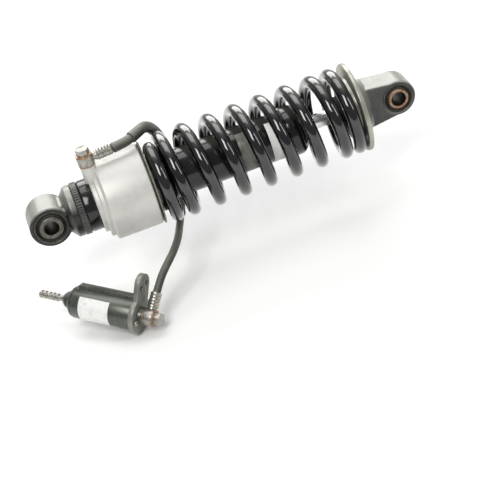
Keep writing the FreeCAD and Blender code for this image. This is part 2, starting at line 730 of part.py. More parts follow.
def make_bleed_screw():
    """Hexagon-headed bleed screw in the shoulder of the preload cylinder."""
    angle = math.radians(size("bleed_angle"))
    reach = size("collar_nose_radius") + size("bleed_radius") + 0.2
    seat = size("collar_step") - 1
    centre = Vector(seat - size("bleed_height"), reach * math.cos(angle), reach * math.sin(angle))
    head = hexagon("bleed_head", at("bleed_radius"), at("bleed_height"), Placement(centre, ALONG_X))
    nipple = cylinder("bleed_nipple", at("nipple_radius"), (1.0, "1"),
                      Placement(centre + Vector(size("bleed_height"), 0, 0), ALONG_X))
    return fuse("bleed_screw", [head, nipple])


def make_preload_piston():
    """Annular piston on the tube, with the flange that carries the spring's isolator."""
    turned("preload_piston", [
        (at("piston_start"), at("preload_bore")),
        (at("piston_start", 3), at("preload_bore")),
        (at("piston_start", 3), at("preload_bore", 2)),
        (at("piston_start", 6), at("preload_bore", 2)),
        (at("piston_start", 6), at("preload_bore")),
        (at("seat_start"), at("preload_bore")),
        (at("seat_start"), at("flange_radius")),
        (at("piston_flange"), at("flange_radius")),
        (at("piston_flange"), at("preload_outer")),
        (at("piston_start", 6), at("preload_outer")),
        (at("piston_start", 6), at("preload_outer", -2)),
        (at("piston_start", 3), at("preload_outer", -2)),
        (at("piston_start", 3), at("preload_outer")),
        (at("piston_start"), at("preload_outer")),
    ])
    inner = ring("preload_inner_seal", at("piston_start", 3), at("piston_start", 6),
                 at("preload_bore", -0.03), at("preload_bore", 2))
    outer = ring("preload_outer_seal", at("piston_start", 3), at("piston_start", 6),
                 at("preload_outer", -2), at("preload_outer", 0.03))
    group("preload_piston_seals", [inner, outer])
    ring("preload_cylinder_seal", at("collar_step", 2), at("collar_step", 5),
         at("tube_radius"), at("tube_radius", 2))


def make_spring_guide():
    """Grooved sleeve that centres the spring's first coil."""
    pitch = 1.5
    start = size("seat_start")
    count = int((size("guide_end") - size("seat_end") - 2) / pitch)
    outline = [
        (at("seat_start"), at("preload_bore", 0.6)),
        (at("guide_end"), at("preload_bore", 0.6)),
        (at("guide_end"), at("guide_radius", -1)),
    ]
    for index in range(count):
        back = size("guide_end") - start - 0.5 - index * pitch
        outline.append((at("seat_start", back), at("guide_radius")))
        outline.append((at("seat_start", back - pitch / 2), at("guide_radius", -0.6)))
    outline.append((at("seat_start"), at("guide_radius", -0.6)))
    return turned("spring_guide", outline)


def spring_advance(turn, open_pitch):
    """Distance along the axis after a number of turns from a closed end, before the middle."""
    closed = size("closed_turns")
    blend = size("blend_turns")
    shut = size("closed_pitch")
    if turn <= closed:
        return shut * turn
    share = min(turn - closed, blend)
    opening = shut * share + (open_pitch - shut) * share * share / (2 * blend)
    return shut * closed + opening + open_pitch * max(turn - closed - blend, 0)


def make_coil_spring():
    """Right-handed coil spring with closed ends."""
    turns = size("spring_turns")
    wire = size("wire_radius")
    start = size("seat_end") + wire + 0.1
    length = size("retainer_start") - wire - 0.1 - start
    ends = 2 * (size("closed_turns") * size("closed_pitch") + size("blend_turns") * size("closed_pitch") / 2)
    open_pitch = (length - ends) / (turns - 2 * size("closed_turns") - size("blend_turns"))
    steps = int(turns * 16)
    points = []
    for step in range(steps + 1):
        turn = turns * step / steps
        if turn <= turns / 2:
            advance = spring_advance(turn, open_pitch)
        else:
            advance = length - spring_advance(turns - turn, open_pitch)
        angle = math.radians(size("spring_phase") + 360 * turn)
        radius = size("spring_mean_radius")
        points.append(Vector(start + advance, radius * math.cos(angle), radius * math.sin(angle)))
    path = Part.BSplineCurve()
    path.interpolate(points)
    section = Part.Wire([Part.makeCircle(wire, points[0], path.tangent(path.FirstParameter)[0])])
    made = document.addObject("Part::Feature", "coil_spring")
    made.Label = "coil_spring"
    made.Shape = Part.Wire([path.toShape()]).makePipeShell([section], True, True)
    made.Placement = Placement()
    print(f"coil spring open pitch {open_pitch:.2f} mm, volume {made.Shape.Volume:.0f} mm3, "
          f"wire x length {math.pi * wire ** 2 * path.length():.0f} mm3")
    return made


# ---------------------------------------------------------------------------------------------
# Rod side
# ---------------------------------------------------------------------------------------------
def make_rod_assembly():
    turned("piston_rod", [
        (at("tenon_end"), ON_AXIS),
        (at("tenon_end"), at("tenon_radius", -0.8)),
        (at("tenon_end", 0.8), at("tenon_radius")),
        (at("rod_shoulder"), at("tenon_radius")),
        (at("rod_shoulder"), at("rod_radius")),
        (at("rod_end", -1), at("rod_radius")),
        (at("rod_end"), at("rod_radius", -1)),
        (at("rod_end"), ON_AXIS),
    ])
    turned("damper_piston", [
        (at("valve_start"), at("tenon_radius")),
        (at("valve_end"), at("tenon_radius")),
        (at("valve_end"), at("valve_radius")),
        (at("valve_end", -3), at("valve_radius")),
        (at("valve_end", -3), at("band_bore")),
        (at("valve_start", 3), at("band_bore")),
        (at("valve_start", 3), at("valve_radius")),
        (at("valve_start"), at("valve_radius")),
    ])
    ring("piston_band", at("valve_start", 3), at("valve_end", -3), at("band_bore"), at("band_radius"))
    thick = size("shim_thickness")
    radii = (14.5, 12.5, 10.5)
    for label, face, away in (("rebound_shims", "valve_end", 1), ("compression_shims", "valve_start", -1)):
        shims = []
        for index, radius in enumerate(radii):
            near = at(face, away * thick * index)
            far = at(face, away * thick * (index + 1))
            start, end = sorted((near, far))
            shims.append(ring(f"{label}_{index}", start, end, at("tenon_radius"), (radius, None)))
        group(label, shims)
    nut = hexagon("nut_hexagon", at("nut_corner_radius"),
                  (size("valve_start") - 3 * thick - size("nut_start"),
                   "Sizes.valve_start - 3 * Sizes.shim_thickness - Sizes.nut_start"),
                  Placement(Vector(size("nut_start"), 0, 0), ALONG_X))
    bore = cylinder("nut_bore", at("tenon_radius"), (12.0, "12"),
                    Placement(Vector(size("nut_start") - 1, 0, 0), ALONG_X))
    cut_from("piston_nut", nut, [bore])
    turned("topout_bumper", [
        (at("topout_start"), at("rod_radius")),
        (at("topout_end"), at("rod_radius")),
        (at("topout_end"), at("topout_radius", -2)),
        (at("topout_end", -3), at("topout_radius")),
        (at("topout_start", 3), at("topout_radius")),
        (at("topout_start"), at("topout_radius", -2)),
    ])
    turned("bump_stop", [
        (at("bumper_start"), at("bumper_bore")),
        (at("hub_start"), at("bumper_bore")),
        (at("hub_start"), at("bumper_radius")),
        (at("hub_start", -6), at("bumper_radius")),
        (at("hub_start", -8), at("bumper_radius", -2)),
        (at("hub_start", -10), at("bumper_radius")),
        (at("bumper_start", 5), at("bumper_radius")),
        (at("bumper_start"), at("bumper_radius", -4)),
    ])
    make_rod_eye_casting()


def make_spring_retainer():
    """Plate that carries the spring's rod end, with a spigot inside the last coil."""
    turned("spring_retainer", [
        (at("retainer_start"), at("hub_fit")),
        (at("retainer_end"), at("hub_fit")),
        (at("retainer_end"), at("retainer_radius", -2.5)),
        (at("retainer_end", -1), at("retainer_radius")),
        (at("retainer_start", 1), at("retainer_radius")),
        (at("retainer_start"), at("retainer_radius", -1)),
        (at("retainer_start"), at("guide_radius")),
        (at("retainer_start", -7), at("guide_radius")),
        (at("retainer_start", -8), at("guide_radius", -1)),
        (at("retainer_start", -8), at("guide_radius", -6)),
        (at("retainer_start"), at("guide_radius", -6)),
    ])


def make_floating_piston():
    turned("floating_piston", [
        (at("floater_start"), ON_AXIS),
        (at("floater_start"), at("floater_radius")),
        (at("floater_start", 4), at("floater_radius")),
        (at("floater_start", 4), at("groove_floor")),
        (at("floater_start", 7), at("groove_floor")),
        (at("floater_start", 7), at("floater_radius")),
        (at("floater_end"), at("floater_radius")),
        (at("floater_end"), at("floater_radius", -3)),
        (at("floater_start", 5), at("floater_radius", -5)),
        (at("floater_start", 5), ON_AXIS),
    ])
    ring("floating_piston_ring", at("floater_start", 4), at("floater_start", 7),
         at("groove_floor"), at("ring_radius"))


# ---------------------------------------------------------------------------------------------
# Hose and its fittings
# ---------------------------------------------------------------------------------------------
def route_edges(points):
    """Straight runs joined by tangent arcs. Returns the edges, the radii and each arc's index."""
    corners = [Vector(*point) for point in points]
    edges = []
    radii = []
    arcs = {}
    here = corners[0]
    for index in range(1, len(corners) - 1):
        before = corners[index - 1] - corners[index]
        after = corners[index + 1] - corners[index]
        turn = math.pi - before.getAngle(after)
        take = ARC_SHARE * min(before.Length, after.Length)
        radius = take / math.tan(turn / 2)
        back = Vector(before).normalize()
        ahead = Vector(after).normalize()
        start = corners[index] + back * take
        end = corners[index] + ahead * take
        inwards = (back + ahead).normalize()
        middle = corners[index] + inwards * (radius / math.cos(turn / 2) - radius)
        edges.append(Part.LineSegment(here, start).toShape())
        arcs[index] = len(edges)
        edges.append(Part.Arc(start, middle, end).toShape())
        radii.append(radius)
        here = end
    edges.append(Part.LineSegment(here, corners[-1]).toShape())
    return edges, radii, arcs


def tube_along(edges, radius):
    """A round solid along a chain of edges."""
    first = edges[0]
    start = first.valueAt(first.FirstParameter)
    heading = first.tangentAt(first.FirstParameter)
    section = Part.Wire([Part.makeCircle(radius, start, heading)])
    return Part.Wire(edges).makePipeShell([section], True, False)


def make_hose():
    edges, radii, arcs = route_edges(HOSE_ROUTE)
    length = sum(edge.Length for edge in edges)
    hose = document.addObject("Part::Feature", "preload_hose")
    hose.Label = "preload_hose"
    hose.Shape = tube_along(edges, size("hose_radius"))
    hose.Placement = Placement()
    diameter = 2 * size("hose_radius")
    print("hose arcs, in diameters: " + ", ".join(f"{radius / diameter:.1f}" for radius in radii))
    print(f"hose length {length:.1f} mm, volume {hose.Shape.Volume:.0f} mm3, "
          f"section x length {math.pi * size('hose_radius') ** 2 * length:.0f} mm3")
    sleeved = edges[arcs[SLEEVED_POINTS[0]]:arcs[SLEEVED_POINTS[1]] + 1]
    outside = tube_along(sleeved, size("hose_sleeve_radius"))
    inside = tube_along(sleeved, size("hose_sleeve_bore"))
    sleeve = document.addObject("Part::Feature", "hose_sleeve")
    sleeve.Label = "hose_sleeve"
    sleeve.Shape = outside.cut(inside)
    sleeve.Placement = Placement()


def crimp_outline():
    """Crimped ferrule from its inner end at 0 to the hose's end face."""
    full = size("crimp_length")
    outline = [((0.0, None), ON_AXIS), ((0.0, None), at("crimp_radius", -0.8))]
    pitch = full / 5
    for index in range(5):
        start = index * pitch
        outline.append(((start + 0.5, None), at("crimp_radius")))
        outline.append(((start + pitch - 0.9, None), at("crimp_radius")))
        outline.append(((start + pitch - 0.45, None), at("crimp_radius", -0.5)))
    outline.append(((full, None), at("crimp_radius", -0.8)))
    outline.append(((full, None), ON_AXIS))
    return outline


def make_banjo(label, centre, axis, hose_end):
    """Banjo eye about axis with a neck that runs outwards to the crimp."""
    flat = Rotation(Vector(0, 0, 1), axis)
    half = size("banjo_height") / 2
    eye = cylinder(f"{label}_eye", at("banjo_radius"), at("banjo_height"),
                   Placement(centre - axis * half, flat))
    outwards = (hose_end - centre).normalize()
    along = Rotation(Vector(0, 0, 1), outwards)
    reach = (hose_end - centre).Length - size("crimp_length")
    neck = cylinder(f"{label}_neck", at("banjo_neck_radius"), (reach, f"{reach}"), Placement(centre, along))
    collar = cylinder(f"{label}_collar", at("banjo_neck_radius", 0.9), (1.6, "1.6"),
                      Placement(centre + outwards * (reach - 1.6), along))
    body = fuse(f"{label}_solid", [eye, neck, collar])
    bore = cylinder(f"{label}_bore", at("port_radius", 0.4), at("banjo_height", 2),
                    Placement(centre - axis * (half + 1), flat))
    return cut_from(label, body, [bore])


def make_banjo_bolt(label, centre, axis, shank):
    """Hexagon-headed banjo bolt with a washer face and a shank down into its port."""
    face = centre + axis * (size("banjo_height") / 2 + size("washer_thickness"))
    flat = Rotation(Vector(0, 0, 1), axis)
    head = hexagon(f"{label}_head", at("banjo_head_radius"), at("banjo_head_height", -0.8),
                   Placement(face + axis * 0.8, flat))
    seat = cylinder(f"{label}_seat", at("banjo_head_radius", -0.2), (0.8, "0.8"), Placement(face, flat))
    crown = document.addObject("Part::Cone", f"{label}_crown")
    crown.setExpression("Radius1", "Sizes.banjo_head_radius - 1")
    crown.setExpression("Radius2", "Sizes.banjo_head_radius - 2")
    crown.Height = 0.5
    crown.Placement = Placement(face + axis * size("banjo_head_height"), flat)
    stem = cylinder(f"{label}_stem", at("port_radius"), (shank, f"{shank}"),
                    Placement(face - axis * shank, flat))
    return fuse(label, [head, seat, crown, stem])


def make_washers(label, centre, axis):
    """The two sealing washers, one each side of a banjo eye."""
    half = size("banjo_height") / 2
    thick = size("washer_thickness")
    flat = Rotation(Vector(0, 0, 1), axis)
    washers = []
    for index, offset in enumerate((-half - thick, half)):
        disc = cylinder(f"{label}_disc_{index}", at("washer_radius"), at("washer_thickness"),
                        Placement(centre + axis * offset, flat))
        bore = cylinder(f"{label}_hole_{index}", at("port_radius"), at("washer_thickness", 2),
                        Placement(centre + axis * (offset - 1), flat))
        washers.append(cut_from(f"{label}_{index}", disc, [bore]))
    return group(label, washers)


def make_fittings():
    upper = upper_banjo_centre()
    lower = lower_banjo_centre()
    up = Vector(0, 0, 1)
    along = adjuster_place().Rotation.multVec(Vector(1, 0, 0))
    make_banjo("upper_banjo", upper, up, Vector(*HOSE_ROUTE[0]))
    make_banjo("lower_banjo", lower, along, Vector(*HOSE_ROUTE[-1]))
    make_banjo_bolt("upper_banjo_bolt", upper, up, size("upper_shank"))
    make_banjo_bolt("lower_banjo_bolt", lower, along, size("lower_shank"))
    make_washers("upper_banjo_washers", upper, up)
    make_washers("lower_banjo_washers", lower, along)
    ends = (("upper_hose_crimp", HOSE_ROUTE[0], upper), ("lower_hose_crimp", HOSE_ROUTE[-1], lower))
    for label, end, banjo in ends:
        heading = (Vector(*end) - banjo).normalize()
        start = Vector(*end) - heading * size("crimp_length")
        turned(label, crimp_outline(), Placement(start, Rotation(Vector(1, 0, 0), heading)))


# ---------------------------------------------------------------------------------------------
# Remote adjuster
# ---------------------------------------------------------------------------------------------
def make_adjuster_housing():
    """Housing with a rail along its back, a spigot round its port and two screw holes in its end."""
    shell = turned("housing_shell", [
        (at("housing_start"), at("housing_bore")),
        (at("housing_floor"), at("housing_bore")),
        (at("housing_floor"), ON_AXIS),
        (at("housing_end"), ON_AXIS),
        (at("housing_end"), at("housing_radius")),
        (at("housing_start", 1), at("housing_radius")),
        (at("housing_start"), at("housing_radius", -1)),
    ], adjuster_place())
    spigot = cylinder("housing_spigot", at("spigot_radius"),
                      (size("bracket_end") - size("housing_end") + size("spigot_length") + 1,
                       "Sizes.bracket_end - Sizes.housing_end + Sizes.spigot_length + 1"),
                      adjuster_place(size("housing_end") - 1, turn=ALONG_X))
    lean = Rotation(Vector(1, 0, 0), size("rail_lean"))
    rail = document.addObject("Part::Box", "housing_rail")
    rail.setExpression("Length", "Sizes.housing_end - Sizes.rail_start")
    rail.setExpression("Width", "Sizes.rail_width")
    rail.setExpression("Height", "Sizes.rail_height + 1.5")
    base = lean.multVec(Vector(0, -size("rail_width") / 2, size("housing_radius") - 1.5))
    rail.Placement = adjuster_place(size("rail_start"), base.y, base.z, lean)
    whole = fuse("housing_whole", [shell, spigot, rail])
    port = lower_port("housing_port", at("port_radius"))
    holes = screw_holes("housing", size("housing_end") - size("screw_depth") - 0.5)
    return cut_from("adjuster_housing", whole, [port] + holes)


def screw_holes(prefix, start):
    """Two holes for the bracket screws, from a face of the adjuster onwards."""
    return [cylinder(f"{prefix}_screw_hole_{side}", at("screw_shank"), (12.0, "12"),
                     adjuster_place(start, side * size("screw_spread"), size("screw_drop"), ALONG_X))
            for side in (-1, 1)]


def lower_port(name, radius):
    """Bore on the lower banjo bolt's axis, through the bracket and the housing's end."""
    centre = adjuster_place().inverse().multVec(lower_banjo_centre())
    return cylinder(name, radius, (30.0, "30"),
                    adjuster_place(size("housing_floor") - 2, centre.y, centre.z, ALONG_X))


def make_adjuster_bracket():
    """Plate round the housing's end with an upright tongue and two mounting holes."""
    thickness = (size("bracket_end") - size("housing_end"), "Sizes.bracket_end - Sizes.housing_end")
    start = size("housing_end")
    disc = cylinder("bracket_disc", at("bracket_radius"), thickness, adjuster_place(start, turn=ALONG_X))
    tongue = document.addObject("Part::Box", "bracket_tongue")
    tongue.setExpression("Length", thickness[1])
    tongue.setExpression("Width", "2 * Sizes.tongue_half_width")
    tongue.setExpression("Height", "Sizes.tongue_top - Sizes.tongue_half_width")
    tongue.Placement = adjuster_place(start, -size("tongue_half_width"), 0)
    tip = cylinder("bracket_tip", at("tongue_half_width"), thickness,
                   adjuster_place(start, 0, size("tongue_top") - size("tongue_half_width"), ALONG_X))
    plate = fuse("bracket_plate", [disc, tongue, tip])
    tools = [cylinder("bracket_bore", at("spigot_radius"), (8.0, "8"), adjuster_place(start - 2, turn=ALONG_X))]
    for alias in ("bracket_hole_low", "bracket_hole_high"):
        tools.append(cylinder(f"{alias}_tool", at("bracket_hole_radius"), (8.0, "8"),
                              adjuster_place(start - 2, size(f"{alias}_side"), size(alias), ALONG_X)))
    return cut_from("adjuster_bracket", plate, tools + screw_holes("bracket", start - 2))


def make_bracket_screws():
    screws = []
    for side in (-1, 1):
        across = side * size("screw_spread")
        head = cylinder(f"screw_head_{side}", at("screw_head"), at("screw_head_height"),
                        adjuster_place(size("bracket_end"), across, size("screw_drop"), ALONG_X))
        shank = cylinder(f"screw_shank_{side}", at("screw_shank"),
                         (size("bracket_end") - size("housing_end") + size("screw_depth"),
                          "Sizes.bracket_end - Sizes.housing_end + Sizes.screw_depth"),
                         adjuster_place(size("housing_end") - size("screw_depth"), across,
                                        size("screw_drop"), ALONG_X))
        screws.append(fuse(f"bracket_screw_{side}", [head, shank]))
    return group("bracket_screws", screws)


def make_adjuster_drive():
    """Cap, gland nut, ribbed screw and piston that push oil towards the preload cylinder."""
    place = adjuster_place()
    turned("adjuster_cap", [
        (at("boss_ring_start"), at("screw_clearance")),
        (at("housing_start", 4), at("screw_clearance")),
        (at("housing_start", 4), at("housing_bore")),
        (at("housing_start"), at("housing_bore")),
        (at("housing_start"), at("housing_radius", -0.4)),
        (at("housing_start", -2), at("housing_radius", -1.2)),
        (at("housing_start", -2), at("boss_ring_radius")),
        (at("boss_ring_start", 1), at("boss_ring_radius")),
        (at("boss_ring_start"), at("boss_ring_radius", -1)),
    ], place)
    hexagonal = hexagon("gland_hexagon", at("gland_radius"),
                        (size("boss_ring_start") - size("gland_start"),
                         "Sizes.boss_ring_start - Sizes.gland_start"),
                        adjuster_place(size("gland_start"), turn=ALONG_X))
    shaper = document.addObject("Part::Cone", "gland_shaper")
    shaper.setExpression("Radius1", "Sizes.stub_radius + 1.6")
    shaper.setExpression("Radius2", "Sizes.gland_radius + 1.6")
    shaper.setExpression("Height", "Sizes.boss_ring_start - Sizes.gland_start")
    shaper.Placement = adjuster_place(size("gland_start"), turn=ALONG_X)
    rounded = document.addObject("Part::Common", "gland_rounded")
    rounded.Base = hexagonal
    rounded.Tool = shaper
    bore = cylinder("gland_bore", at("screw_clearance"), (12.0, "12"),
                    adjuster_place(size("gland_start") - 2, turn=ALONG_X))
    cut_from("adjuster_gland_nut", rounded, [bore])
    outline = [(at("stub_start"), ON_AXIS), (at("stub_start"), at("stub_radius", -1.1))]
    pitch = 4.2
    for index in range(5):
        outline.append((at("stub_start", 0.6 + index * pitch), at("stub_radius")))
        outline.append((at("stub_start", 2.6 + index * pitch), at("stub_radius")))
        outline.append((at("stub_start", 3.2 + index * pitch), at("stub_radius", -0.9)))
        outline.append((at("stub_start", 4.2 + index * pitch), at("stub_radius", -0.9)))
    outline.append((at("gland_start", -0.4), at("stub_radius", -0.9)))
    outline.append((at("gland_start", -0.4), at("screw_radius")))
    outline.append((at("screw_end"), at("screw_radius")))
    outline.append((at("screw_end"), ON_AXIS))
    turned("adjuster_screw", outline, place)
    turned("adjuster_piston", [
        (at("plunger_start"), at("screw_clearance")),
        (at("plunger_end"), at("screw_clearance")),
        (at("plunger_end"), at("plunger_radius")),
        (at("plunger_end", -2), at("plunger_radius")),
        (at("plunger_end", -2), at("plunger_radius", -2)),
        (at("plunger_end", -5), at("plunger_radius", -2)),
        (at("plunger_end", -5), at("plunger_radius")),
        (at("plunger_start"), at("plunger_radius")),
    ], place)
    ring("adjuster_piston_ring", at("plunger_end", -5), at("plunger_end", -2),
         at("plunger_radius", -2), at("plunger_radius", 0.04), place)


# ---------------------------------------------------------------------------------------------
# The whole object
# ---------------------------------------------------------------------------------------------
def make_all():
    make_damper_body()
    make_bush("body", "body_bush_radius", "body_eye_half", 0.0)
    make_bush("rod", "rod_bush_radius", "rod_eye_half", size("eye_spacing"))
    make_head()
    make_label("data_label", at("tube_end", -24), at("tube_end", -12), "tube_radius", 62, 150)
    make_label("inspection_label", at("tube_end", -52), at("tube_end", -40), "tube_radius", 70, 130)
    make_preload_cylinder()
    make_bleed_screw()
    make_preload_piston()
    ring("spring_isolator", at("seat_start"), at("seat_end"), at("guide_radius"), at("seat_radius"))
    make_spring_guide()
    make_coil_spring()
    make_spring_retainer()
    make_rod_assembly()
    make_floating_piston()
    make_hose()
    make_fittings()
    make_adjuster_housing()
    make_adjuster_bracket()
    make_bracket_screws()
    make_adjuster_drive()
    make_label("adjuster_label", at("housing_start", 1), at("housing_start", 31), "housing_radius",
               145, 118, adjuster_place())


NODES = [
    "body_eye_casting", "body_bush_shell", "body_bush_rubber", "body_bush_sleeve", "damper_tube",
    "gas_fill_plug", "knurled_lock_ring", "preload_stop_ring", "rod_guide", "rod_guide_bush",
    "rod_guide_ring", "rod_seal", "rod_guide_circlip", "tube_end_cap", "rod_wiper", "data_label",
    "inspection_label", "preload_cylinder", "preload_cylinder_seal", "bleed_screw", "preload_piston",
    "preload_piston_seals", "spring_isolator", "spring_guide", "coil_spring", "spring_retainer",
    "piston_rod", "damper_piston", "piston_band", "rebound_shims", "compression_shims", "piston_nut",
    "topout_bumper", "bump_stop", "rod_eye_casting", "rod_bush_shell", "rod_bush_rubber",
    "rod_bush_sleeve", "floating_piston", "floating_piston_ring", "preload_hose", "hose_sleeve",
    "upper_banjo", "upper_banjo_bolt", "upper_banjo_washers", "upper_hose_crimp", "lower_hose_crimp",
    "lower_banjo", "lower_banjo_bolt", "lower_banjo_washers", "adjuster_housing", "adjuster_bracket",
    "bracket_screws", "adjuster_cap", "adjuster_gland_nut", "adjuster_screw", "adjuster_piston",
    "adjuster_piston_ring", "adjuster_label",
]


def check_states():
    """Stops if any object failed to recompute."""
    for item in document.Objects:
        if "Invalid" in item.State or "Error" in item.State:
            raise RuntimeError(f"{item.Label} failed: {item.State}")


def export_all():
    os.makedirs("parts", exist_ok=True)
    for label in NODES:
        item = document.getObjectsByLabel(label)[0]
        shape = item.Shape
        if shape.isNull() or not shape.isValid():
            raise RuntimeError(f"{label} has no valid shape")
        shape.exportStep(os.path.join("parts", f"{label}.step"))
    print(f"{len(NODES)} parts written")


make_all()
document.recompute()
check_states()
export_all()
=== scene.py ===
from array import array
import json
import math

import bmesh
import bpy
from mathutils import Matrix, Vector, noise


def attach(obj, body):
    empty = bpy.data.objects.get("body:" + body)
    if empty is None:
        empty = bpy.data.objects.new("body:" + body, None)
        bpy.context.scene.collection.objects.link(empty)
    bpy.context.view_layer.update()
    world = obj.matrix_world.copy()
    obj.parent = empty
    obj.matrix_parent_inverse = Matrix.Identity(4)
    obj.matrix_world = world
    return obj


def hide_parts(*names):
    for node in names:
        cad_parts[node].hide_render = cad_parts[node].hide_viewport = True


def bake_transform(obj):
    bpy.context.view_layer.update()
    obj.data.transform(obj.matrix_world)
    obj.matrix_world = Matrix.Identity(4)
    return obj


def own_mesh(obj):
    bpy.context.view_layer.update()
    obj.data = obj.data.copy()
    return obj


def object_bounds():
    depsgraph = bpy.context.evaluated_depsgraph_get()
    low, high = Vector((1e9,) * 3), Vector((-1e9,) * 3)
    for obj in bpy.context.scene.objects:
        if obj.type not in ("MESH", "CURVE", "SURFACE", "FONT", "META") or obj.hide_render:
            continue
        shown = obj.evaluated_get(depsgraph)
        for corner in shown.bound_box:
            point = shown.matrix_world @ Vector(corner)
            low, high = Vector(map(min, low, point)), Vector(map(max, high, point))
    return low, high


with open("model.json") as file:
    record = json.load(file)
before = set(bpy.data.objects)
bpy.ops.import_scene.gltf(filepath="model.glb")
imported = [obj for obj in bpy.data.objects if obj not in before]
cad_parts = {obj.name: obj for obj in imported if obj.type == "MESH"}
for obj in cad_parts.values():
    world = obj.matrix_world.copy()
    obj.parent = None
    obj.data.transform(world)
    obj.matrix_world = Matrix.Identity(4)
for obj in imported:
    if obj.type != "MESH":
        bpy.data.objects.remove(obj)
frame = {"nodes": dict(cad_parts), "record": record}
cad_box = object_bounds()

# Looks of the rear shock absorber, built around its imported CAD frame. The damper's axis is X, with
# the body eye at the origin and the rod eye at +X; Z is up. Sizes named in this script are in
# millimetres and turned into metres by MM, except where a comment says otherwise.
MM = 0.001
BODY_EYE = 0.0              # where the eyes' centres stand on the damper's axis
ROD_EYE = 332.0
SLEEVE_BORE = 6.4           # radius of both inner sleeves' bores
scene = bpy.context.scene

# ------------------------------------------------------------------------------------------
# Camera, at the angle and distance from which the shock was photographed
# ------------------------------------------------------------------------------------------
VIEW_AZIMUTH = math.radians(-6.33)
VIEW_ELEVATION = math.radians(32.46)
VIEW_ROLL = math.radians(-17.17)
CAMERA_PLACE = Vector((0.0264, -1.2419, 0.6902))    # metres
CAMERA_LENS = 114.0         # millimetres
CAMERA_SENSOR = 36.0


def add_camera():
    """A level camera at the view's azimuth and elevation, then rolled about its own axis."""
    back = Vector((math.sin(VIEW_AZIMUTH) * math.cos(VIEW_ELEVATION),
                   -math.cos(VIEW_AZIMUTH) * math.cos(VIEW_ELEVATION),
                   math.sin(VIEW_ELEVATION)))
    level = Vector((math.cos(VIEW_AZIMUTH), math.sin(VIEW_AZIMUTH), 0))
    above = back.cross(level)
    right = level * math.cos(VIEW_ROLL) + above * math.sin(VIEW_ROLL)
    up = back.cross(right)
    data = bpy.data.cameras.new("camera")
    data.lens = CAMERA_LENS
    data.sensor_width = CAMERA_SENSOR
    camera = bpy.data.objects.new("camera", data)
    camera.matrix_world = Matrix((
        (right.x, up.x, back.x, CAMERA_PLACE.x),
        (right.y, up.y, back.y, CAMERA_PLACE.y),
        (right.z, up.z, back.z, CAMERA_PLACE.z),
        (0, 0, 0, 1)))
    scene.collection.objects.link(camera)
    scene.camera = camera


# ------------------------------------------------------------------------------------------
# Materials
# ------------------------------------------------------------------------------------------
RIM_INSIDE = 0.2            # millimetres beyond a bore's wall at which its painted shade starts to thin out
RIM_OUTSIDE = 0.9           # and at which it ends


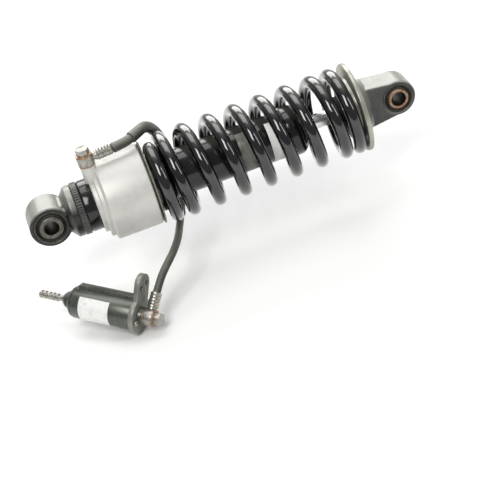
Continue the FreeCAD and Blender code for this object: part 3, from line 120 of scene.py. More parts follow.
class Recipe:
    """A node material under construction: a Principled shader and helpers that feed it."""

    def __init__(self, name):
        self.material = bpy.data.materials.new(name)
        self.material.use_nodes = True
        self.tree = self.material.node_tree
        self.tree.nodes.clear()
        self.output = self.tree.nodes.new("ShaderNodeOutputMaterial")
        self.shader = self.tree.nodes.new("ShaderNodeBsdfPrincipled")
        self.link(self.shader.outputs["BSDF"], self.output.inputs["Surface"])
        self.place = self.tree.nodes.new("ShaderNodeTexCoord").outputs["Object"]
        self.last_normal = None

    def link(self, source, target):
        self.tree.links.new(source, target)

    def set(self, **values):
        for name, value in values.items():
            self.shader.inputs[name.replace("_", " ")].default_value = value
        return self

    def noise(self, scale, detail=4.0, roughness=0.55, distortion=0.0, stretch=None):
        """Noise with features about 1/scale metres across, stretched along an axis if asked."""
        node = self.tree.nodes.new("ShaderNodeTexNoise")
        node.inputs["Scale"].default_value = scale
        node.inputs["Detail"].default_value = detail
        node.inputs["Roughness"].default_value = roughness
        node.inputs["Distortion"].default_value = distortion
        place = self.place
        if stretch:
            mapping = self.tree.nodes.new("ShaderNodeMapping")
            mapping.inputs["Scale"].default_value = stretch
            self.link(place, mapping.inputs["Vector"])
            place = mapping.outputs["Vector"]
        self.link(place, node.inputs["Vector"])
        return node.outputs["Fac"]

    def ramp(self, source, low, high):
        """Nothing where the source is under low, one where it is over high."""
        node = self.tree.nodes.new("ShaderNodeValToRGB")
        node.color_ramp.elements[0].position = low
        node.color_ramp.elements[1].position = high
        self.link(source, node.inputs["Fac"])
        return node.outputs["Color"]

    def span(self, source, low, high):
        """Maps 0..1 to low..high."""
        node = self.tree.nodes.new("ShaderNodeMapRange")
        node.inputs["To Min"].default_value = low
        node.inputs["To Max"].default_value = high
        self.link(source, node.inputs["Value"])
        return node.outputs["Result"]

    def mix(self, share, first, second):
        """Mixes two colours, each a socket or a plain colour, by a socket."""
        node = self.tree.nodes.new("ShaderNodeMix")
        node.data_type = "RGBA"
        self.link(share, node.inputs["Factor"])
        for value, socket in ((first, node.inputs[6]), (second, node.inputs[7])):
            if hasattr(value, "is_linked"):
                self.link(value, socket)
            else:
                socket.default_value = (*value, 1)
        return node.outputs[2]

    def multiply(self, first, second):
        node = self.tree.nodes.new("ShaderNodeMath")
        node.operation = "MULTIPLY"
        self.link(first, node.inputs[0])
        self.link(second, node.inputs[1])
        return node.outputs[0]

    def edges(self, low=0.52, high=0.6):
        """Share of wear: raised edges, from the mesh's own pointiness."""
        node = self.tree.nodes.new("ShaderNodeNewGeometry")
        return self.ramp(node.outputs["Pointiness"], low, high)

    def upward(self, low, high):
        """Share of the film on top faces, dust with painted sheen: grows with how far a surface faces up."""
        geometry = self.tree.nodes.new("ShaderNodeNewGeometry")
        node = self.tree.nodes.new("ShaderNodeSeparateXYZ")
        self.link(geometry.outputs["Normal"], node.inputs["Vector"])
        return self.ramp(node.outputs["Z"], low, high)

    def inside(self, centre_x, radius):
        """Share of a bore, for its painted shade: one on the wall of a hole about the Y axis at centre_x,
        none beyond its rim.
        """
        offset = self.tree.nodes.new("ShaderNodeMapping")
        offset.inputs["Location"].default_value = (-centre_x * MM, 0, 0)
        offset.inputs["Scale"].default_value = (1, 0, 1)
        self.link(self.place, offset.inputs["Vector"])
        reach = self.tree.nodes.new("ShaderNodeVectorMath")
        reach.operation = "LENGTH"
        self.link(offset.outputs["Vector"], reach.inputs[0])
        node = self.tree.nodes.new("ShaderNodeMapRange")
        node.inputs["From Min"].default_value = (radius + RIM_OUTSIDE) * MM
        node.inputs["From Max"].default_value = (radius + RIM_INSIDE) * MM
        self.link(reach.outputs["Value"], node.inputs["Value"])
        return node.outputs["Result"]

    def dust_and_top_sheen(self, base, dust_and_sheen, low=0.55, high=1.0):
        """A base colour under a broken film on the surfaces that face up: dust, and a painted sheen where
        light falls on top faces.
        """
        film = self.multiply(self.upward(low, high), self.span(self.noise(75, 6, 0.7), 0.55, 1.0))
        return self.mix(film, base, dust_and_sheen)

    def colour(self, socket):
        self.link(socket, self.shader.inputs["Base Color"])
        return self

    def roughness(self, socket):
        self.link(socket, self.shader.inputs["Roughness"])
        return self

    def bump(self, source, depth, strength=1.0):
        """Adds a bump of a real depth in metres on top of those already there."""
        node = self.tree.nodes.new("ShaderNodeBump")
        node.inputs["Strength"].default_value = strength
        node.inputs["Distance"].default_value = depth
        self.link(source, node.inputs["Height"])
        if self.last_normal:
            self.link(self.last_normal, node.inputs["Normal"])
        self.last_normal = node.outputs["Normal"]
        self.link(self.last_normal, self.shader.inputs["Normal"])
        return self


def spring_coat():
    """Thick gloss black powder coat with orange peel, and on top a film of dust and painted sheen."""
    recipe = Recipe("spring_coat")
    recipe.set(Metallic=0.0, Coat_Weight=1.0, Coat_Roughness=0.025, Specular_IOR_Level=0.5)
    dust_and_sheen = recipe.ramp(recipe.noise(60, 6, 0.65), 0.52, 0.8)
    base = recipe.mix(dust_and_sheen, (0.003, 0.003, 0.0035), (0.009, 0.009, 0.008))
    # paler film on the top faces: dust and a painted sheen of the light from above
    recipe.colour(recipe.dust_and_top_sheen(base, (0.16, 0.16, 0.14), 0.72, 1.0))
    recipe.roughness(recipe.span(recipe.noise(90, 5), 0.05, 0.16))
    recipe.bump(recipe.noise(420, 2), 0.00005)
    return recipe.material


def casting_paint(name="casting_paint", low=0.3, high=0.92,
                  clean=(0.006, 0.006, 0.0065), dull=(0.024, 0.0235, 0.021)):
    """Semi-gloss black paint over sand-cast alloy, with chipped edges, and dust with a painted sheen on the
    faces turned up.
    """
    recipe = Recipe(name)
    recipe.set(Metallic=0.0, Coat_Weight=0.3, Coat_Roughness=0.12, Specular_IOR_Level=0.4)
    dust_and_sheen = recipe.ramp(recipe.noise(45, 6, 0.7), 0.45, 0.85)
    base = recipe.mix(dust_and_sheen, clean, dull)
    chips = recipe.multiply(recipe.edges(0.54, 0.62), recipe.ramp(recipe.noise(260, 4, 0.7), 0.5, 0.62))
    base = recipe.mix(chips, base, (0.2, 0.2, 0.19))
    # paler film on the faces turned up: dust and a painted sheen of the light from above
    recipe.colour(recipe.dust_and_top_sheen(base, (0.42, 0.42, 0.37), low, high))
    recipe.roughness(recipe.span(recipe.noise(120, 5), 0.18, 0.42))
    recipe.bump(recipe.noise(900, 3, 0.6), 0.00012)
    recipe.bump(recipe.noise(160, 3), 0.0002)
    return recipe.material


def tube_paint():
    """Smooth black paint with fine rubbed lines round the tube."""
    recipe = Recipe("tube_paint")
    recipe.set(Metallic=0.0, Coat_Weight=0.4, Coat_Roughness=0.05, Specular_IOR_Level=0.35)
    haze = recipe.ramp(recipe.noise(70, 6, 0.7), 0.4, 0.8)
    base = recipe.mix(haze, (0.004, 0.004, 0.0045), (0.012, 0.012, 0.0115))
    # paler film on the top faces: dust and a painted sheen of the light from above
    recipe.colour(recipe.dust_and_top_sheen(base, (0.06, 0.06, 0.052), 0.7, 1.0))
    recipe.roughness(recipe.span(recipe.noise(200, 5), 0.1, 0.26))
    recipe.bump(recipe.noise(300, 3, stretch=(6, 1, 1)), 0.00002)
    return recipe.material


def knurl_metal():
    """Blackened steel, with the tips of its knurling rubbed a little brighter."""
    recipe = Recipe("knurl_metal").set(Metallic=0.3, Coat_Weight=0.3, Coat_Roughness=0.1)
    worn = recipe.edges(0.5, 0.56)
    base = recipe.mix(worn, (0.009, 0.009, 0.01), (0.07, 0.07, 0.065))
    # paler film on the top faces: dust and a painted sheen of the light from above
    recipe.colour(recipe.dust_and_top_sheen(base, (0.1, 0.1, 0.09), 0.6, 1.0))
    recipe.roughness(recipe.span(recipe.noise(400, 4), 0.25, 0.5))
    recipe.bump(recipe.noise(1400, 3), 0.0001)
    return recipe.material


def blasted_alloy():
    """Fine-blasted clear-anodised aluminium with light stains."""
    recipe = Recipe("blasted_alloy").set(Metallic=0.35, Specular_IOR_Level=0.4)
    stain = recipe.ramp(recipe.noise(38, 6, 0.7, 0.4), 0.5, 0.85)
    base = recipe.mix(stain, (0.62, 0.61, 0.58), (0.48, 0.465, 0.42))
    specks = recipe.ramp(recipe.noise(520, 3, 0.7), 0.66, 0.78)
    recipe.colour(recipe.mix(specks, base, (0.36, 0.345, 0.31)))
    recipe.roughness(recipe.span(recipe.noise(150, 5), 0.4, 0.56))
    recipe.bump(recipe.noise(3200, 2), 0.00005)
    return recipe.material


def turned_alloy(name="turned_alloy", bright=(0.46, 0.455, 0.4), tarnished=(0.27, 0.26, 0.21)):
    """Machined, tarnished aluminium with turning marks about the damper's axis."""
    recipe = Recipe(name).set(Metallic=0.85)
    tarnish = recipe.ramp(recipe.noise(90, 6, 0.7), 0.35, 0.8)
    recipe.colour(recipe.mix(tarnish, bright, tarnished))
    recipe.roughness(recipe.span(recipe.noise(250, 5), 0.28, 0.5))
    recipe.bump(recipe.noise(1600, 2, stretch=(1, 0.15, 0.15)), 0.00006)
    return recipe.material


def plated_steel(name="plated_steel", bright=(0.42, 0.41, 0.37), stain=(0.19, 0.155, 0.11),
                 cover=(0.46, 0.74)):
    """Zinc-plated steel with brown stains."""
    recipe = Recipe(name).set(Metallic=0.95)
    spots = recipe.ramp(recipe.noise(240, 6, 0.72, 0.6), *cover)
    recipe.colour(recipe.mix(spots, bright, stain))
    recipe.roughness(recipe.span(recipe.noise(300, 5), 0.26, 0.5))
    recipe.bump(recipe.noise(1100, 4), 0.00008)
    return recipe.material


def bush_steel(name, bright, stain, cover, centre_x, bore):
    """Plated steel of an inner bush sleeve, with painted shade on the wall inside its bore."""
    recipe = Recipe(name).set(Metallic=0.9)
    spots = recipe.ramp(recipe.noise(240, 6, 0.72, 0.6), *cover)
    bore_shade = recipe.inside(centre_x, bore)
    face = recipe.mix(spots, bright, stain)
    # the bore's wall is painted near black: painted shade inside the hole
    recipe.colour(recipe.mix(bore_shade, face, (0.022, 0.017, 0.013)))
    recipe.roughness(recipe.span(recipe.noise(300, 5), 0.4, 0.6))
    recipe.bump(recipe.noise(1100, 4), 0.00008)
    return recipe.material


def rod_chrome():
    """Hard chrome with a thin film of oil."""
    recipe = Recipe("rod_chrome").set(Metallic=1.0)
    film = recipe.ramp(recipe.noise(120, 5), 0.4, 0.8)
    recipe.colour(recipe.mix(film, (0.86, 0.86, 0.87), (0.72, 0.7, 0.66)))
    recipe.roughness(recipe.span(recipe.noise(500, 3, stretch=(0.2, 1, 1)), 0.2, 0.34))
    return recipe.material


def worn_rubber(name="worn_rubber", dark=(0.012, 0.012, 0.012), dust_and_top_sheen=(0.05, 0.048, 0.042), rough=(0.5, 0.75),
                top_dust_and_sheen=(0.08, 0.078, 0.066)):
    """Satin rubber with dust in its grain, and on top a paler film of dust and painted sheen."""
    recipe = Recipe(name).set(Metallic=0.0, Specular_IOR_Level=0.4)
    dust_and_sheen = recipe.ramp(recipe.noise(150, 6, 0.7), 0.42, 0.85)
    # paler film on the top faces: dust and a painted sheen of the light from above
    recipe.colour(recipe.dust_and_top_sheen(recipe.mix(dust_and_sheen, dark, dust_and_top_sheen), top_dust_and_sheen, 0.2, 1.0))
    recipe.roughness(recipe.span(recipe.noise(260, 5), *rough))
    recipe.bump(recipe.noise(1300, 4, 0.6), 0.0001)
    return recipe.material


def copper_metal():
    """Annealed copper, dulled in patches."""
    recipe = Recipe("copper_metal").set(Metallic=1.0)
    dull = recipe.ramp(recipe.noise(420, 5, 0.7), 0.4, 0.75)
    recipe.colour(recipe.mix(dull, (0.48, 0.29, 0.18), (0.22, 0.13, 0.085)))
    recipe.roughness(recipe.span(recipe.noise(500, 4), 0.3, 0.55))
    recipe.bump(recipe.noise(1500, 3), 0.00005)
    return recipe.material


def bronze_metal():
    """Sintered bronze of the rod's bush."""
    recipe = Recipe("bronze_metal").set(Metallic=0.9)
    dull = recipe.ramp(recipe.noise(500, 4), 0.4, 0.7)
    recipe.colour(recipe.mix(dull, (0.5, 0.35, 0.17), (0.22, 0.16, 0.1)))
    recipe.roughness(recipe.span(recipe.noise(400, 4), 0.3, 0.5))
    return recipe.material


def nylon():
    """Cream nylon that spring grease and dirt have darkened to olive."""
    recipe = Recipe("nylon").set(Metallic=0.0)
    dirt = recipe.ramp(recipe.noise(180, 6, 0.75), 0.42, 0.75)
    recipe.colour(recipe.mix(dirt, (0.22, 0.215, 0.16), (0.08, 0.078, 0.055)))
    recipe.roughness(recipe.span(recipe.noise(200, 4), 0.3, 0.55))
    recipe.bump(recipe.noise(900, 3), 0.00006)
    return recipe.material


def label_film(name, colour, faded):
    """Blank printed film, a little scuffed."""
    recipe = Recipe(name).set(Metallic=0.0, Coat_Weight=0.2, Coat_Roughness=0.2)
    scuff = recipe.ramp(recipe.noise(210, 6, 0.75), 0.48, 0.72)
    recipe.colour(recipe.mix(scuff, colour, faded))
    recipe.roughness(recipe.span(recipe.noise(160, 4), 0.25, 0.5))
    recipe.bump(recipe.noise(700, 3), 0.00003)
    return recipe.material


def satin_black():
    """Satin dark grey-green finish of the adjuster, rubbed brighter on its edges."""
    recipe = Recipe("satin_black").set(Metallic=0.5, Coat_Weight=0.2, Coat_Roughness=0.15)
    haze = recipe.ramp(recipe.noise(110, 6, 0.7), 0.4, 0.8)
    base = recipe.mix(haze, (0.075, 0.083, 0.07), (0.12, 0.13, 0.108))
    base = recipe.mix(recipe.edges(0.56, 0.64), base, (0.16, 0.165, 0.15))
    # paler film on the top faces: dust and a painted sheen of the light from above
    recipe.colour(recipe.dust_and_top_sheen(base, (0.12, 0.125, 0.105), 0.5, 1.0))
    recipe.roughness(recipe.span(recipe.noise(300, 5), 0.24, 0.33))
    recipe.bump(recipe.noise(1800, 3), 0.00004)
    return recipe.material


def bracket_paint():
    """Grey, slightly metallic finish of the adjuster's bracket."""
    recipe = Recipe("bracket_paint").set(Metallic=0.45)
    haze = recipe.ramp(recipe.noise(130, 6, 0.7), 0.35, 0.8)
    base = recipe.mix(haze, (0.17, 0.17, 0.155), (0.3, 0.295, 0.25))
    recipe.colour(recipe.mix(recipe.edges(0.53, 0.6), base, (0.45, 0.45, 0.42)))
    recipe.roughness(recipe.span(recipe.noise(300, 5), 0.3, 0.5))
    recipe.bump(recipe.noise(1500, 3), 0.00006)
    return recipe.material


def floor_paper():
    """Nearly white studio paper."""
    recipe = Recipe("floor_paper").set(Metallic=0.0, Specular_IOR_Level=0.1)
    tone = recipe.noise(6, 3)
    recipe.colour(recipe.mix(tone, (0.9, 0.9, 0.885), (0.93, 0.93, 0.92)))
    recipe.roughness(recipe.span(recipe.noise(30, 3), 0.6, 0.7))
    return recipe.material


def make_materials():
    """One material for each material slot of the record."""
    rubber = worn_rubber()
    return {
        "black_casting": casting_paint(),
        "black_tube": tube_paint(),
        "knurled_black": knurl_metal(),
        "spring_paint": spring_coat(),
        "silver_alloy": blasted_alloy(),
        "retainer_alloy": turned_alloy(),
        "bush_shell_steel": plated_steel("shell_steel", (0.14, 0.135, 0.12), (0.06, 0.055, 0.045),
                                         (0.35, 0.7)),
        "bush_sleeve_steel": plated_steel("sleeve_steel", (0.36, 0.3, 0.24), (0.24, 0.11, 0.055),
                                          (0.4, 0.62)),
        "zinc_steel": plated_steel(),
        "inner_steel": plated_steel("inner_steel", (0.55, 0.55, 0.55), (0.4, 0.38, 0.35)),
        "rod_chrome": rod_chrome(),
        "inner_alloy": turned_alloy("inner_alloy", (0.5, 0.48, 0.44), (0.3, 0.28, 0.24)),
        "bush_bronze": bronze_metal(),
        "copper_washer": copper_metal(),
        "rubber": rubber,
        "seal_rubber": rubber,
        # the last colour of each rubber is its film on top faces: dust and painted sheen
        "hose_rubber": worn_rubber("hose_rubber", (0.02, 0.02, 0.019), (0.06, 0.058, 0.05), (0.32, 0.5),
                                   (0.16, 0.158, 0.13)),
        "sleeve_rubber": worn_rubber("sleeve_rubber", (0.035, 0.035, 0.031), (0.09, 0.09, 0.075),
                                     (0.36, 0.55), (0.27, 0.27, 0.23)),
        "isolator_nylon": nylon(),
        "label_white": label_film("label_white", (0.85, 0.85, 0.83), (0.62, 0.62, 0.59)),
        "label_grey": label_film("label_grey", (0.17, 0.17, 0.15), (0.085, 0.07, 0.05)),
        "adjuster_black": satin_black(),
        "bracket_grey": bracket_paint(),
    }


def own_materials():
    """Pieces that look different from the rest of their slot: by wear, and by painted shade and painted
    sheen.
    """
    return {
        # a lighter copy of the casting paint, with its top film on every upward face: painted light for the
        # more brightly lit rod eye
        "rod_eye_casting": casting_paint("lit_casting", 0.0, 0.9, (0.03, 0.03, 0.027), (0.1, 0.098, 0.083)),
        # the piston's flange sits in shadow between the cylinder's rim and the isolator: its alloy is painted
        # dark, as painted shade
        "preload_piston": turned_alloy("shaded_alloy", (0.07, 0.068, 0.06), (0.03, 0.028, 0.022)),
        "body_bush_sleeve": bush_steel("dark_sleeve_steel", (0.2, 0.2, 0.175), (0.09, 0.08, 0.06), (0.38, 0.66),
                                       BODY_EYE, SLEEVE_BORE),
        "rod_bush_sleeve": bush_steel("rusted_steel", (0.4, 0.31, 0.23), (0.26, 0.12, 0.06), (0.4, 0.62),
                                      ROD_EYE, SLEEVE_BORE),
    }


def material_of(node):
    """A node's own material if it has one, else that of its slot; the own materials carry wear, painted shade
    and painted sheen.
    """
    return wear_and_painted_light.get(node, materials[SLOT_OF[node]])


# ------------------------------------------------------------------------------------------
# Mesh helpers
# ------------------------------------------------------------------------------------------
SLOT_OF = {entry["node"]: entry["material_slot"] for entry in frame["record"]["subparts"]}
BODY_OF = {node: body for body, nodes in frame["record"]["behaviour"]["bodies"].items() for node in nodes}
SMOOTH_ANGLE = 35.0         # degrees: edges sharper than this stay sharp, unless a piece says otherwise


def new_piece(name, mesh, node, smooth_angle=SMOOTH_ANGLE, rides=True):
    """A piece that stands for a CAD node: its body, slot and material are the node's."""
    piece = bpy.data.objects.new(name, mesh)
    scene.collection.objects.link(piece)
    mesh.materials.clear()
    mesh.materials.append(material_of(node))
    shade(mesh, smooth_angle)
    if rides:
        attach(piece, BODY_OF[node])
    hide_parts(node)
    return piece


def shade(mesh, smooth_angle):
    """Smooth shading, with edges sharper than the angle kept sharp."""
    mesh.shade_smooth()
    mesh.set_sharp_from_angle(angle=math.radians(smooth_angle))


def lathe(outline, steps, start=0.0, sweep=math.tau):
    """Mesh turned about the X axis from a closed outline of (x, radius) points in millimetres."""
    work = bmesh.new()
    closed = sweep == math.tau
    rings = []
    for step in range(steps if closed else steps + 1):
        angle = start + sweep * step / steps
        turn = Vector((0, math.cos(angle), math.sin(angle)))
        rings.append([work.verts.new(Vector((x, 0, 0)) * MM + turn * radius * MM) for x, radius in outline])
    count = len(outline)
    spans = len(rings) if closed else len(rings) - 1
    for step in range(spans):
        here = rings[step]
        there = rings[(step + 1) % len(rings)]
        for index in range(count):
            after = (index + 1) % count
            work.faces.new((here[index], here[after], there[after], there[index]))
    if not closed:
        work.faces.new(rings[0])
        work.faces.new(list(reversed(rings[-1])))
    bmesh.ops.recalc_face_normals(work, faces=work.faces)
    mesh = bpy.data.meshes.new("lathe")
    work.to_mesh(mesh)
    work.free()
    return mesh


LONGEST_ROUNDING = 0.48     # share of the shorter side at a corner that its rounding may take
SHORTEST_ROUNDING = 1e-4


def rounded(corners, radius, steps):
    """A closed outline of (x, radius) points with each corner rounded."""
    points = []
    count = len(corners)
    for index, corner in enumerate(corners):
        here = Vector(corner)
        back = Vector(corners[index - 1]) - here
        ahead = Vector(corners[(index + 1) % count]) - here
        turn = math.pi - back.angle(ahead)
        take = min(radius * math.tan(turn / 2),
                   LONGEST_ROUNDING * back.length, LONGEST_ROUNDING * ahead.length)
        if take < SHORTEST_ROUNDING:
            points.append(tuple(here))
            continue
        start = here + back.normalized() * take
        end = here + ahead.normalized() * take
        for step in range(steps + 1):
            share = step / steps
            curve = start * (1 - share) ** 2 + here * 2 * share * (1 - share) + end * share ** 2
            points.append(tuple(curve))
    return points


def evaluated(source):
    """A new mesh with an object's modifiers applied."""
    bpy.context.view_layer.update()
    graph = bpy.context.evaluated_depsgraph_get()
    return bpy.data.meshes.new_from_object(source.evaluated_get(graph), depsgraph=graph)


MERGE_DISTANCE = 2e-6       # metres
FLAT_ANGLE = 1.0            # degrees up to which neighbouring faces count as one
BEVEL_ANGLE = 28.0          # degrees from which an edge is broken


def bevelled(node, width):
    """The CAD node's shape with its sharp edges broken, as a new piece."""
    source = frame["nodes"][node]
    copy = bpy.data.objects.new("work", source.data.copy())
    scene.collection.objects.link(copy)
    work = bmesh.new()
    work.from_mesh(copy.data)
    bmesh.ops.remove_doubles(work, verts=work.verts, dist=MERGE_DISTANCE)
    bmesh.ops.dissolve_limit(work, angle_limit=math.radians(FLAT_ANGLE), verts=work.verts, edges=work.edges)
    work.to_mesh(copy.data)
    work.free()
    bevel = copy.modifiers.new("bevel", "BEVEL")
    bevel.width = width * MM
    bevel.segments = 2
    bevel.limit_method = "ANGLE"
    bevel.angle_limit = math.radians(BEVEL_ANGLE)
    bevel.use_clamp_overlap = True
    mesh = evaluated(copy)
    bpy.data.objects.remove(copy)
    return new_piece(f"{node}.finished", mesh, node)


CAST_RIPPLE = 0.05          # height of the sand casting's waves, in millimetres
CAST_GRAIN = 120.0          # waves in a metre
RELAX_FACTOR = 0.6
RELAX_PASSES = 6


def cast(node, voxel):
    """The CAD node's shape with cast fillets: remeshed evenly, then relaxed."""
    source = frame["nodes"][node]
    copy = bpy.data.objects.new("work", source.data.copy())
    scene.collection.objects.link(copy)
    remesh = copy.modifiers.new("remesh", "REMESH")
    remesh.mode = "VOXEL"
    remesh.voxel_size = voxel * MM
    relax = copy.modifiers.new("relax", "SMOOTH")
    relax.factor = RELAX_FACTOR
    relax.iterations = RELAX_PASSES
    mesh = evaluated(copy)
    bpy.data.objects.remove(copy)
    count = 3 * len(mesh.vertices)
    places = array("f", [0.0]) * count
    normals = array("f", [0.0]) * count
    mesh.vertices.foreach_get("co", places)
    mesh.vertices.foreach_get("normal", normals)
    for start in range(0, count, 3):
        roll = CAST_RIPPLE * MM * noise.noise(Vector(places[start:start + 3]) * CAST_GRAIN)
        for axis in range(start, start + 3):
            places[axis] += normals[axis] * roll
    mesh.vertices.foreach_set("co", places)
    mesh.update()
    return new_piece(f"{node}.cast", mesh, node, smooth_angle=180.0)


# ------------------------------------------------------------------------------------------
# Hose: a free cord with its protective sleeve
# ------------------------------------------------------------------------------------------
HOSE_ROUTE = [              # millimetres, from the upper fitting to the lower one
    (73.6, -2.8, 47.1), (86.6, -1.4, 47.1), (98.8, 5.2, 48.6), (108.2, 19.0, 45.6), (116.0, 36.0, 31.5),
    (121.8, 48.5, 10.5), (125.0, 50.5, -15.0), (122.0, 38.5, -37.5), (115.0, 16.5, -50.0),
    (108.2, -8.5, -48.5), (101.4, -35.0, -44.5), (92.0, -57.2, -42.4), (82.5, -69.6, -44.3),
    (73.6, -77.4, -49.7), (66.1, -84.0, -57.8),
]
HOSE_RADIUS = 3.5
HOSE_STEPS = 24             # spline points in each run between route points
THIN_SLEEVE = 4.6           # radius of the heat-shrunk sleeve
THICK_SLEEVE = 5.2          # radius of the second layer over it
SLEEVE_SPAN = (0.004, 0.60)  # shares of the hose's length that the sleeve covers
THICK_SPAN = (0.069, 0.42)
SLEEVE_SPACING = 0.8        # between the sleeve's rings, along the hose
RIPPLE_HEIGHT, RIPPLE_SHORT, RIPPLE_LONG = 0.08, 3.1, 17.3     # soft waves of two lengths, multiplied
LIP_HEIGHT, LIP_PLACE, LIP_WIDTH = 0.25, 1.2, 1.1   # shrunk lip near each end of a layer
TAPER_DEPTH, TAPER_LENGTH = 0.3, 0.8                # and the taper at the very end
PINCH_DEPTH, PINCH_WIDTH = 0.5, 1.2                 # groove where the thin layer goes under the thick one
SPARE_POINT = 0.2           # share of a spacing below which the line's own last point is left out


def spline_points(route, steps=HOSE_STEPS):
    """The route's smooth NURBS line as evenly followed points, in metres."""
    line = nurbs_line("route", route)
    line.data.resolution_u = steps
    bpy.context.view_layer.update()
    graph = bpy.context.evaluated_depsgraph_get()
    mesh = bpy.data.meshes.new_from_object(line.evaluated_get(graph), depsgraph=graph)
    points = [vertex.co.copy() for vertex in mesh.vertices]
    bpy.data.objects.remove(line)
    bpy.data.meshes.remove(mesh)
    return points


def nurbs_line(name, route):
    """A smooth curve guided by a route in millimetres, touching its first and last points."""
    data = bpy.data.curves.new(name, "CURVE")
    data.dimensions = "3D"
    spline = data.splines.new("NURBS")
    spline.points.add(len(route) - 1)
    for point, place in zip(spline.points, route):
        point.co = (*(value * MM for value in place), 1.0)
    spline.order_u = 3
    spline.use_endpoint_u = True
    line = bpy.data.objects.new(name, data)
    scene.collection.objects.link(line)
    return line


TUBE_ANGLE = 50.0           # degrees: tubes keep only edges sharper than this, at their ends


def tube_mesh(points, radius_at, steps=32):
    """A tube along points; radius_at gives its radius, in metres, for a share of its length."""
    lengths = [0.0]
    for before, after in zip(points, points[1:]):
        lengths.append(lengths[-1] + (after - before).length)
    work = bmesh.new()
    side = None
    rings = []
    for index, point in enumerate(points):
        ahead = points[min(index + 1, len(points) - 1)] - points[max(index - 1, 0)]
        ahead.normalize()
        if side is None:
            side = ahead.orthogonal().normalized()
        side = (side - ahead * side.dot(ahead)).normalized()
        other = ahead.cross(side)
        radius = radius_at(lengths[index] / lengths[-1], lengths[-1])
        rings.append([work.verts.new(point + (side * math.cos(turn) + other * math.sin(turn)) * radius)
                      for turn in (math.tau * step / steps for step in range(steps))])
    for here, there in zip(rings, rings[1:]):
        for step in range(steps):
            after = (step + 1) % steps
            work.faces.new((here[step], there[step], there[after], here[after]))
    for ring, turned in ((rings[0], False), (rings[-1], True)):
        work.faces.new(list(reversed(ring)) if turned else ring)
    bmesh.ops.recalc_face_normals(work, faces=work.faces)
    mesh = bpy.data.meshes.new("tube")
    work.to_mesh(mesh)
    work.free()
    return mesh


def resampled(points, spacing):
    """Points at an even spacing along a line of points."""
    result = [points[0]]
    left = spacing
    for before, after in zip(points, points[1:]):
        run = after - before
        length = run.length
        place = left
        while place <= length:
            result.append(before + run * (place / length))
            place += spacing
        left = place - length
    if (result[-1] - points[-1]).length > spacing * SPARE_POINT:
        result.append(points[-1])
    return result


def add_hose():
    """The hose, its sleeve of two layers, and the cord that they and the crimps make together."""
    hose = nurbs_line("hose", HOSE_ROUTE)
    hose.data.bevel_depth = HOSE_RADIUS * MM
    hose.data.bevel_resolution = 6
    hose.data.resolution_u = HOSE_STEPS
    hose.data.use_fill_caps = True
    hose.data.materials.append(materials["hose_rubber"])
    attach(hose, "damper_body")
    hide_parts("preload_hose")

    path = resampled(spline_points(HOSE_ROUTE), SLEEVE_SPACING * MM)
    first = int(len(path) * SLEEVE_SPAN[0])
    last = int(len(path) * SLEEVE_SPAN[1])
    layer = [(share - SLEEVE_SPAN[0]) / (SLEEVE_SPAN[1] - SLEEVE_SPAN[0]) for share in THICK_SPAN]

    def sleeve_radius(share, length):
        """Two layers, each with a shrunk lip at its ends, that ripple softly where they bend."""
        place = share * length / MM
        thick = layer[0] < share < layer[1]
        ends = [abs(share - layer[0]), abs(share - layer[1])] if thick else [share, 1 - share]
        nearest = min(ends) * length / MM
        radius = THICK_SLEEVE if thick else THIN_SLEEVE
        radius += RIPPLE_HEIGHT * math.sin(place / RIPPLE_SHORT) * math.sin(place / RIPPLE_LONG)
        radius += LIP_HEIGHT * math.exp(-((nearest - LIP_PLACE) / LIP_WIDTH) ** 2)
        radius -= TAPER_DEPTH * max(0.0, 1 - nearest / TAPER_LENGTH)
        if not thick:
            gap = min(abs(share - edge) for edge in layer) * length / MM
            radius -= PINCH_DEPTH * math.exp(-(gap / PINCH_WIDTH) ** 2)
        return radius * MM

    sleeve = new_piece("hose_sleeve.moulded", tube_mesh(path[first:last], sleeve_radius),
                       "hose_sleeve", TUBE_ANGLE)


# ------------------------------------------------------------------------------------------
# Coil spring
# ------------------------------------------------------------------------------------------
WIRE_RADIUS = 6.0
SPRING_RADIUS = 35.5
SPRING_TURNS = 8.43
CLOSED_TURNS = 0.8
BLEND_TURNS = 0.5
CLOSED_PITCH = 12.3
SPRING_START = -266.6       # degrees, from +Y towards +Z
SPRING_SEAT = 98.0          # the isolator's face
SPRING_TOP = 292.0          # the retainer's face
SEAT_GAP = 0.1              # between the wire and the faces that it bears on
GROUND_GAP = 0.15           # between the wire's ground flats and those faces
END_TAPER, END_TAPER_LENGTH = 0.9, 2.2      # the wire thins at its ends, where it was cut hot


def spring_advance(turn, open_pitch):
    """Distance along the axis after a number of turns from a closed end."""
    if turn <= CLOSED_TURNS:
        return CLOSED_PITCH * turn
    share = min(turn - CLOSED_TURNS, BLEND_TURNS)
    opening = CLOSED_PITCH * share + (open_pitch - CLOSED_PITCH) * share * share / (2 * BLEND_TURNS)
    return CLOSED_PITCH * CLOSED_TURNS + opening + open_pitch * max(turn - CLOSED_TURNS - BLEND_TURNS, 0)


